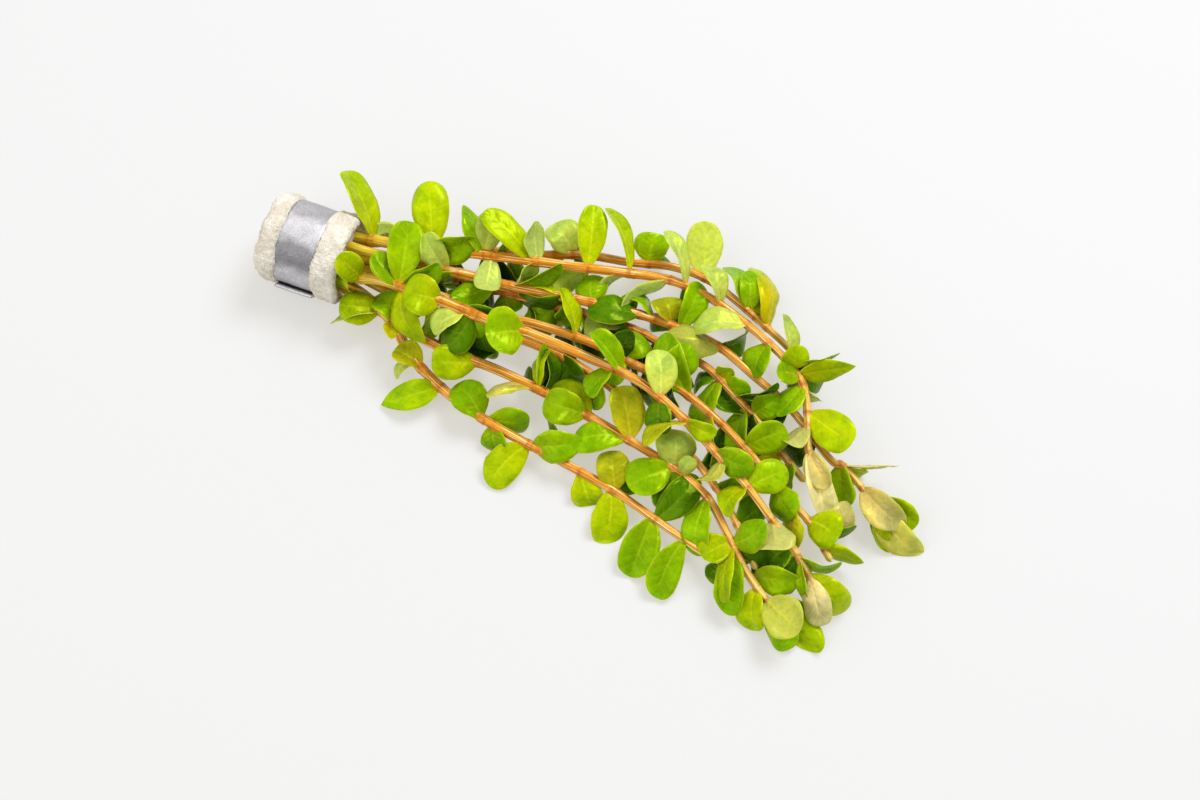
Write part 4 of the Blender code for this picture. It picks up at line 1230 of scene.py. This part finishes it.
def grownShoot(name, shoot, leaves, tree, finishes):
    rows = shootPoints(stemLine(shoot, stemStyle["step"]), shoot)
    points, radii, alongs, cuts = zip(*rows)
    width = stemStyle["nodeWidth"] * mm
    rings = [  # 1 at a leaf's base, near 0 between the leaves
        max((math.exp(-(((point - base).length / width) ** 2)) for _, base, _, _ in leaves), default=0)
        for point in points
    ]
    mesh = bpy.data.meshes.new(f"{name}_line")
    mesh.from_pydata(points, [(i, i + 1) for i in range(len(points) - 1)], [])
    addAttribute(mesh, "stemRadius", [
        radius * (1 + stemStyle["nodeSwelling"] * ring) for radius, ring in zip(radii, rings)
    ])
    addAttribute(mesh, "stemAlong", alongs)
    addAttribute(mesh, "stemRing", rings)
    addAttribute(mesh, "stemCut", cuts)
    stem = bpy.data.objects.new(f"{name}_line", mesh)
    bpy.context.scene.collection.objects.link(stem)

    draw = random.Random(f"{leafStyle['seed']} {name}")
    values = [leafValues(*row, draw) for row in leaves]
    blades = bpy.data.meshes.new(f"{name}_leaves")
    blades.from_pydata([row["leafBase"] for row in values], [], [])
    for key in values[0]:
        addAttribute(blades, key, [row[key] for row in values])
    holder = bpy.data.objects.new(f"{name}_leaves", blades)

    grow = stem.modifiers.new("grow", "NODES")
    grow.node_group = tree
    sockets = {item.name: item.identifier for item in tree.interface.items_tree if item.in_out == "INPUT"}
    inputs = {key: value for key, _, value in shootInputs}
    inputs.update({"Leaves": holder, "Leaf finish": finishes[0], "Stem finish": finishes[1]})
    for key, value in inputs.items():
        grow[sockets[key]] = value
    bpy.context.view_layer.update()
    grown = bpy.data.meshes.new_from_object(stem.evaluated_get(bpy.context.evaluated_depsgraph_get()))
    bpy.data.objects.remove(stem)
    bpy.data.objects.remove(holder)
    for key in (*values[0], "stemRadius"):  # the finishes need none of these but the tones
        if key in grown.attributes and key not in ("leafTone", "leafUnder"):
            grown.attributes.remove(grown.attributes[key])
    grown.name = f"{name}_plant"
    addPiece(grown, name)


def addPiece(mesh, node):
    piece = bpy.data.objects.new(mesh.name, mesh)
    bpy.context.scene.collection.objects.link(piece)
    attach(piece, "root")
    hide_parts(node)
    triangles = sum(len(face.vertices) - 2 for face in mesh.polygons)
    print(f"{piece.name}: {triangles} triangles")
    return piece


def makeMesh(name, points, faces, material):
    mesh = bpy.data.meshes.new(name)
    mesh.from_pydata(points, [], faces)
    mesh.materials.append(material)
    mesh.shade_smooth()
    return mesh


# The foam sleeve: a turned cushion of foam that fills the space between the stems
foam = {
    "left": -11.0,  # mm along the sleeve
    "right": 12.2,
    "radius": 11.9,
    "waist": 9.9,  # under the strip
    "lip": 0.75,  # beside the strip
    "lipDepth": 0.75,
    "lipRounding": 0.1,
    "underStrip": 0.15,  # from the strip's edge in
    "endLength": 3.2,
    "endDepth": 3.8,
    "endAngles": range(0, 91, 15),
    "edge": 0.7,
    "axisRadius": 0.15,
    "leftDish": (4.8, 6.2, 1.3),  # round the stems: the radius of its floor and of its rim, and its depth
    "rightDish": (9.4, 10.5, 1.3),
    "sides": 190,
    "step": 0.4,
    "lumps": (6.5, 0.3),  # size and height, mm
    "crumbs": (1.4, 0.13),
    "grain": (0.62, 0.15),
    "sidewaysCrumbs": 0.8,  # times the crumbs' height
    "crumbShift": (7, 3, 5),
    "smoothFrom": 0.4,  # mm in from the strip's edge
    "floor": 0.15,  # mm, the lowest that the foam lies
    "look": {
        "shader": {
            "Roughness": 1.0,
            "Specular IOR Level": 0.15,
            "Subsurface Weight": 0.2,
            "Subsurface Radius": (1.0, 0.9, 0.7),
            "Subsurface Scale": 0.5 * mm,
        },
        "colour": (0.62, 0.57, 0.48),
        "clouds": (220,),
        "lighter": (0.35, 0.65, 1, (0.74, 0.70, 0.62)),
        "specks": (1500, 2.0),
        "speckTint": (0.6, 0.72, 0.35, (0.36, 0.30, 0.21)),
        "holeScale": 1500.0,
        # painted shade: darker in the foam's pores
        "shadedPores": (0.5, 0.1, 0.3, (0.46, 0.41, 0.32)),
        "bumps": (2600, 2.0),
        "bumpStrength": 0.9,
        "bumpDepth": 0.25,  # mm
    },
}
strip = {
    "width": 10.5,  # mm
    "radius": 11.05,
    "thickness": 1.0,
    "start": 235,  # degrees from +Y over the top
    "lap": 37,
    "climb": 30,
    "lapGap": 0.12,
    "standOff": 0.6,
    "lowest": 0.0,  # mm above the floor
    "steps": 230,
    "columns": 26,
    "edgeRound": 0.22,
    "edgeAngles": (30, 60, 90),
    "dents": (7.0, 0.10),  # size and height, mm
    "scratches": (1.6, 0.02),
    "innerDents": 0.3,  # times the dents of the outer face
    "lapDents": (6, 40),  # past these radians, the dents come from this far on in the noise
    "rough": (1.1, 0.12),  # of the two edges
    "roughSteps": (11, 9),  # round the strip, and from edge to edge
    "roughPower": 8,  # more keeps it nearer to the edges
    "paintedReflectionBands": (  # degrees that the strip has turned, and how light it is painted there: painted reflection and painted shade, the light and dark bands that the lamps and the room leave on the lead
        (0, 0.42), (45, 0.40), (62, 0.56), (78, 0.54), (93, 0.30), (101, 0.25), (118, 0.25), (132, 0.52),
        (152, 0.58), (166, 0.46), (190, 0.54), (215, 0.5), (260, 0.5), (300, 0.38), (345, 0.5), (397, 0.62),
    ),
    "bandWander": 0.12,  # radians
    "wanderSteps": (3, 4),  # mm across the strip, and steps to a radian
    "look": {
        "shader": {"Roughness": 0.42, "Metallic": 0.9},
        "dull": (260, 4.0),
        "fine": (2600,),
        "brightness": (0.75, 1.25),  # times the painted reflection's, from dull to bright
        "hue": (1, 0.975, 1.015),
        "darkGrain": (0.5, 0.72, 0.4, (0.45, 0.45, 0.45)),
        "lightGrain": (0.46, 0.3, 0.25, (1.8, 1.8, 1.8)),
        "roughness": (0.3, 0.25, 0.2),  # at least, and what the dull and the fine noise add
        "fineBump": 0.8,
        "bumpStrength": 0.5,
        "bumpDepth": 0.1,  # mm
    },
}


def foamFinish():
    look = foam["look"]
    material, tree, shader = finish("cream foam", look["shader"])
    place = objectPlace(tree)
    cells = addNode(tree, "ShaderNodeTexVoronoi", {"Vector": place, "Scale": look["holeScale"]})
    shadedPores = Field(tree, cells.outputs["Distance"])
    colour = tinted(tree, look["colour"], cloud(tree, place, *look["clouds"]), look["lighter"])
    colour = tinted(tree, colour, cloud(tree, place, *look["specks"]), look["speckTint"])
    # Painted shade in the pores, which also sink in the bump
    colour = tinted(tree, colour, shadedPores, look["shadedPores"])
    feed(tree, shader.inputs["Base Color"], colour)
    height = shadedPores + cloud(tree, place, *look["bumps"])
    bumped(tree, shader, height, look["bumpStrength"], look["bumpDepth"] * mm)
    return material


def leadFinish():
    look = strip["look"]
    material, tree, shader = finish("grey lead", look["shader"])
    place = objectPlace(tree)
    dull, fine = cloud(tree, place, *look["dull"]), cloud(tree, place, *look["fine"])
    darkest, brightest = look["brightness"]
    # Painted reflection: the strip's light and dark bands, painted into its colour, times a dull noise
    paintedLeadLight = number(tree, "stripBright") * (dull * (brightest - darkest) + darkest)
    colour = combined(tree, *(paintedLeadLight * factor for factor in look["hue"]))
    for tint in (look["darkGrain"], look["lightGrain"]):
        colour = tinted(tree, colour, fine, tint, of=colour)
    feed(tree, shader.inputs["Base Color"], colour)
    least, fromDull, fromFine = look["roughness"]
    feed(tree, shader.inputs["Roughness"], dull * fromDull + fine * fromFine + least)
    bumped(tree, shader, fine * look["fineBump"] + dull, look["bumpStrength"], look["bumpDepth"] * mm)
    return material


def bump(place, dent):  # noise of a size and a height in mm
    size, height = dent
    return noise.noise(place / size) * height * 2


def alongPath(corners, step):  # points a step apart on straight runs between corners
    found = []
    for (x, r), (nextX, nextR) in zip(corners, corners[1:]):
        parts = max(1, round(math.hypot(nextX - x, nextR - r) / step))
        found += [(x + (nextX - x) * i / parts, r + (nextR - r) * i / parts) for i in range(parts)]
    return [*found, corners[-1]]


def foamProfile():  # (along the sleeve, radius) in mm, from the left dish over the outside to the right dish
    half = strip["width"] / 2
    left, right, radius, lip = foam["left"], foam["right"], foam["radius"], foam["lip"]
    rounding = [
        (
            left + foam["endLength"] * (1 - math.cos(math.radians(angle))),
            radius - foam["endDepth"] * (1 - math.sin(math.radians(angle))),
        )
        for angle in foam["endAngles"]
    ]
    leftFloor, leftRim, leftDepth = foam["leftDish"]
    rightFloor, rightRim, rightDepth = foam["rightDish"]
    inside = half - foam["underStrip"]
    return alongPath([
        (left + leftDepth, foam["axisRadius"]),
        (left + leftDepth, leftFloor),
        (left, leftRim),
        *rounding,
        (-half - lip, radius - foam["lipRounding"]),
        (-inside, radius - foam["lipDepth"]),
        (-inside, foam["waist"]),
        (inside, foam["waist"]),
        (inside, radius - foam["lipDepth"]),
        (half + lip, radius - foam["lipRounding"]),
        (right - foam["edge"], radius),
        (right, radius - foam["edge"]),
        (right, rightRim),
        (right - rightDepth, rightFloor),
        (right - rightDepth, foam["axisRadius"]),
    ], foam["step"])


def makeFoam():
    profile = foamProfile()
    sides, count = foam["sides"], len(profile)
    smoothEnd = strip["width"] / 2 - foam["smoothFrom"]
    points, faces = [], []
    for side in range(sides):
        angle = 2 * math.pi * side / sides
        out = Vector((0, math.cos(angle), math.sin(angle)))
        for i, (x, r) in enumerate(profile):
            point = roundTheAxis(x, angle, r) / mm
            if abs(x) >= smoothEnd:
                before, after = profile[max(i - 1, 0)], profile[min(i + 1, count - 1)]
                normal = (Vector((before[1] - after[1], 0, 0)) + out * (after[0] - before[0])).normalized()
                outwards = sum(bump(point, foam[kind]) for kind in ("lumps", "crumbs", "grain"))
                size, height = foam["crumbs"]
                aside = noise.noise_vector(point / size + Vector(foam["crumbShift"])) * height
                point += normal * outwards + aside * foam["sidewaysCrumbs"]
            point.z = max(point.z, foam["floor"])
            points.append(point * mm)
    for side in range(sides):
        near, far = side * count, (side + 1) % sides * count
        faces += [(near + i, far + i, far + i + 1, near + i + 1) for i in range(count - 1)]
    faces.append(tuple(side * count for side in reversed(range(sides))))
    faces.append(tuple(side * count + count - 1 for side in range(sides)))
    piece = addPiece(makeMesh("foam_cushion", points, faces, foamFinish()), "foam_sleeve")


def stripRadius(turned):
    lap = turned - 2 * math.pi
    climb = math.radians(strip["climb"])
    if lap < -climb:
        return strip["radius"]
    over = strip["radius"] + strip["thickness"] + strip["lapGap"]
    if lap < 0:
        share = (1 - math.cos(math.pi * (1 + lap / climb))) / 2
        return strip["radius"] + (over - strip["radius"]) * share
    return over + strip["standOff"] * (lap / math.radians(strip["lap"])) ** 2


# How light the strip is painted at a place round it: painted reflection and painted shade
def paintedReflectionAt(turned):
    degrees = math.degrees(turned)
    for (low, lowBright), (high, highBright) in zip(strip["paintedReflectionBands"], strip["paintedReflectionBands"][1:]):
        if degrees <= high:
            return lowBright + (highBright - lowBright) * (degrees - low) / (high - low)
    return highBright


def stripSection():
    # (across, depth) in mm: the outer face, an edge, back along the inner face, and the other edge
    half, edge, thick = strip["width"] / 2, strip["edgeRound"], strip["thickness"]
    columns = strip["columns"]
    section = [(-half + edge + (2 * half - 2 * edge) * i / columns, 0.0) for i in range(columns + 1)]
    angles = [math.radians(angle) for angle in strip["edgeAngles"]]
    corner = [(half - edge + edge * math.sin(angle), edge * (1 - math.cos(angle))) for angle in angles]
    section += corner + [(x, thick - depth) for x, depth in reversed(corner)]
    return section + [(-x, thick - depth) for x, depth in section]


def stripPoint(x, depth, turned, angle):
    lapFrom, lapShift = strip["lapDents"]
    shift = lapShift if turned > lapFrom else 0
    place = roundTheAxis(x, angle, strip["radius"]) / mm + Vector((0, 0, shift))
    dent = bump(place, strip["dents"]) + bump(place, strip["scratches"])
    if depth >= strip["thickness"] / 2:
        dent *= strip["innerDents"]
    (size, height), (stepRound, stepAcross) = strip["rough"], strip["roughSteps"]
    wide = noise.noise(Vector((angle * stepRound / size, math.copysign(stepAcross, x), 0))) * height
    wide *= (x / (strip["width"] / 2)) ** strip["roughPower"]
    point = roundTheAxis(x + wide, angle, stripRadius(turned) - depth + dent)
    point.z = max(point.z, strip["lowest"])
    return point


def makeStrip():
    turns = 2 * math.pi + math.radians(strip["lap"])
    wanderSize, wanderStep = strip["wanderSteps"]
    section = stripSection()
    count = len(section)
    points, faces, paintedReflections = [], [], []
    for step in range(strip["steps"] + 1):
        turned = turns * step / strip["steps"]
        angle = math.radians(strip["start"]) - turned
        for x, depth in section:
            points.append(stripPoint(x, depth, turned, angle))
            # the painted reflection bands, whose edges wander a little across the strip
            wander = noise.noise(Vector((x / wanderSize, angle * wanderStep, 2))) * strip["bandWander"]
            paintedReflections.append(paintedReflectionAt(turned + wander))
    for step in range(strip["steps"]):
        near, far = step * count, (step + 1) * count
        faces += [(near + i, near + (i + 1) % count, far + (i + 1) % count, far + i) for i in range(count)]
    last = strip["steps"] * count
    faces.append(tuple(reversed(range(count))))
    faces.append(tuple(range(last, last + count)))
    mesh = makeMesh("lead_strip", points, faces, leadFinish())
    addAttribute(mesh, "stripBright", paintedReflections)
    addPiece(mesh, "weight_strip")


# The floor, the light and the camera
studio = {
    "floorSize": 16.0,
    "floorDrop": 0.05,  # mm
    "floor": {
        "Base Color": (0.250, 0.262, 0.302, 1),
        "Roughness": 0.7,
        "Specular IOR Level": 0.2,
        "Emission Color": (1.0, 0.96, 0.84, 1),
        "Emission Strength": 0.435,  # as on a light table, for pale shadows
    },
    "sky": {"Color": (1.0, 0.995, 0.985, 1), "Strength": 0.6},
    "lights": (  # name, place in m, size in m, watts
        ("key", (0.32, 0.62, 0.95), 0.6, 9.5),
        ("fill", (-0.6, -0.6, 0.9), 1.4, 6.0),
    ),
    "lightsAim": (0.08, 0, 0),  # m
    "viewTransform": "Standard",
    "contrast": "Medium High Contrast",
}


def makeStudio():
    half = studio["floorSize"] / 2
    mesh = bpy.data.meshes.new("floor")
    corners = [(-half, -half, 0), (half, -half, 0), (half, half, 0), (-half, half, 0)]
    mesh.from_pydata(corners, [], [(0, 1, 2, 3)])
    mesh.materials.append(finish("pale floor", studio["floor"])[0])
    floor = bpy.data.objects.new("floor", mesh)
    bpy.context.scene.collection.objects.link(floor)
    floor.location.z = -studio["floorDrop"] * mm

    world = bpy.data.worlds.new("studio")
    world.use_nodes = True
    for key, value in studio["sky"].items():
        world.node_tree.nodes["Background"].inputs[key].default_value = value
    bpy.context.scene.world = world
    for name, place, size, power in studio["lights"]:
        light = bpy.data.lights.new(name, "AREA")
        light.shape = "DISK"
        light.size = size
        light.energy = power
        lamp = bpy.data.objects.new(name, light)
        lamp.location = place
        towards = Vector(studio["lightsAim"]) - Vector(place)
        lamp.rotation_euler = towards.to_track_quat("-Z", "Y").to_euler()
        bpy.context.scene.collection.objects.link(lamp)
    bpy.context.scene.view_settings.view_transform = studio["viewTransform"]
    bpy.context.scene.view_settings.look = studio["contrast"]


def makeCamera():
    camera = bpy.data.cameras.new("camera")
    camera.sensor_width = view["sensorWidth"]
    camera.lens = view["focalLength"] * view["sensorWidth"] / view["imageWidth"]
    camera.clip_start, camera.clip_end = view["clip"]
    stand = bpy.data.objects.new("camera", camera)
    axes = Matrix((toRight, toTop, toViewer)).transposed().to_4x4()
    stand.matrix_world = Matrix.Translation(viewer) @ axes
    bpy.context.scene.collection.objects.link(stand)
    bpy.context.scene.camera = stand


makeCamera()
makeStudio()
print("studio made")
makeFoam()
makeStrip()
print("sleeve made")
shootNodes = shootTree()
shootFinishes = (leafFinish(), stemFinish())
allLeaves = {shootName: grownLeaves(shootName, shootRow) for shootName, shootRow in shoots.items()}
moreLeaves(allLeaves)
for shootName, shootRow in shoots.items():
    grownShoot(shootName, shootRow, allLeaves[shootName], shootNodes, shootFinishes)
print("shoots grown")
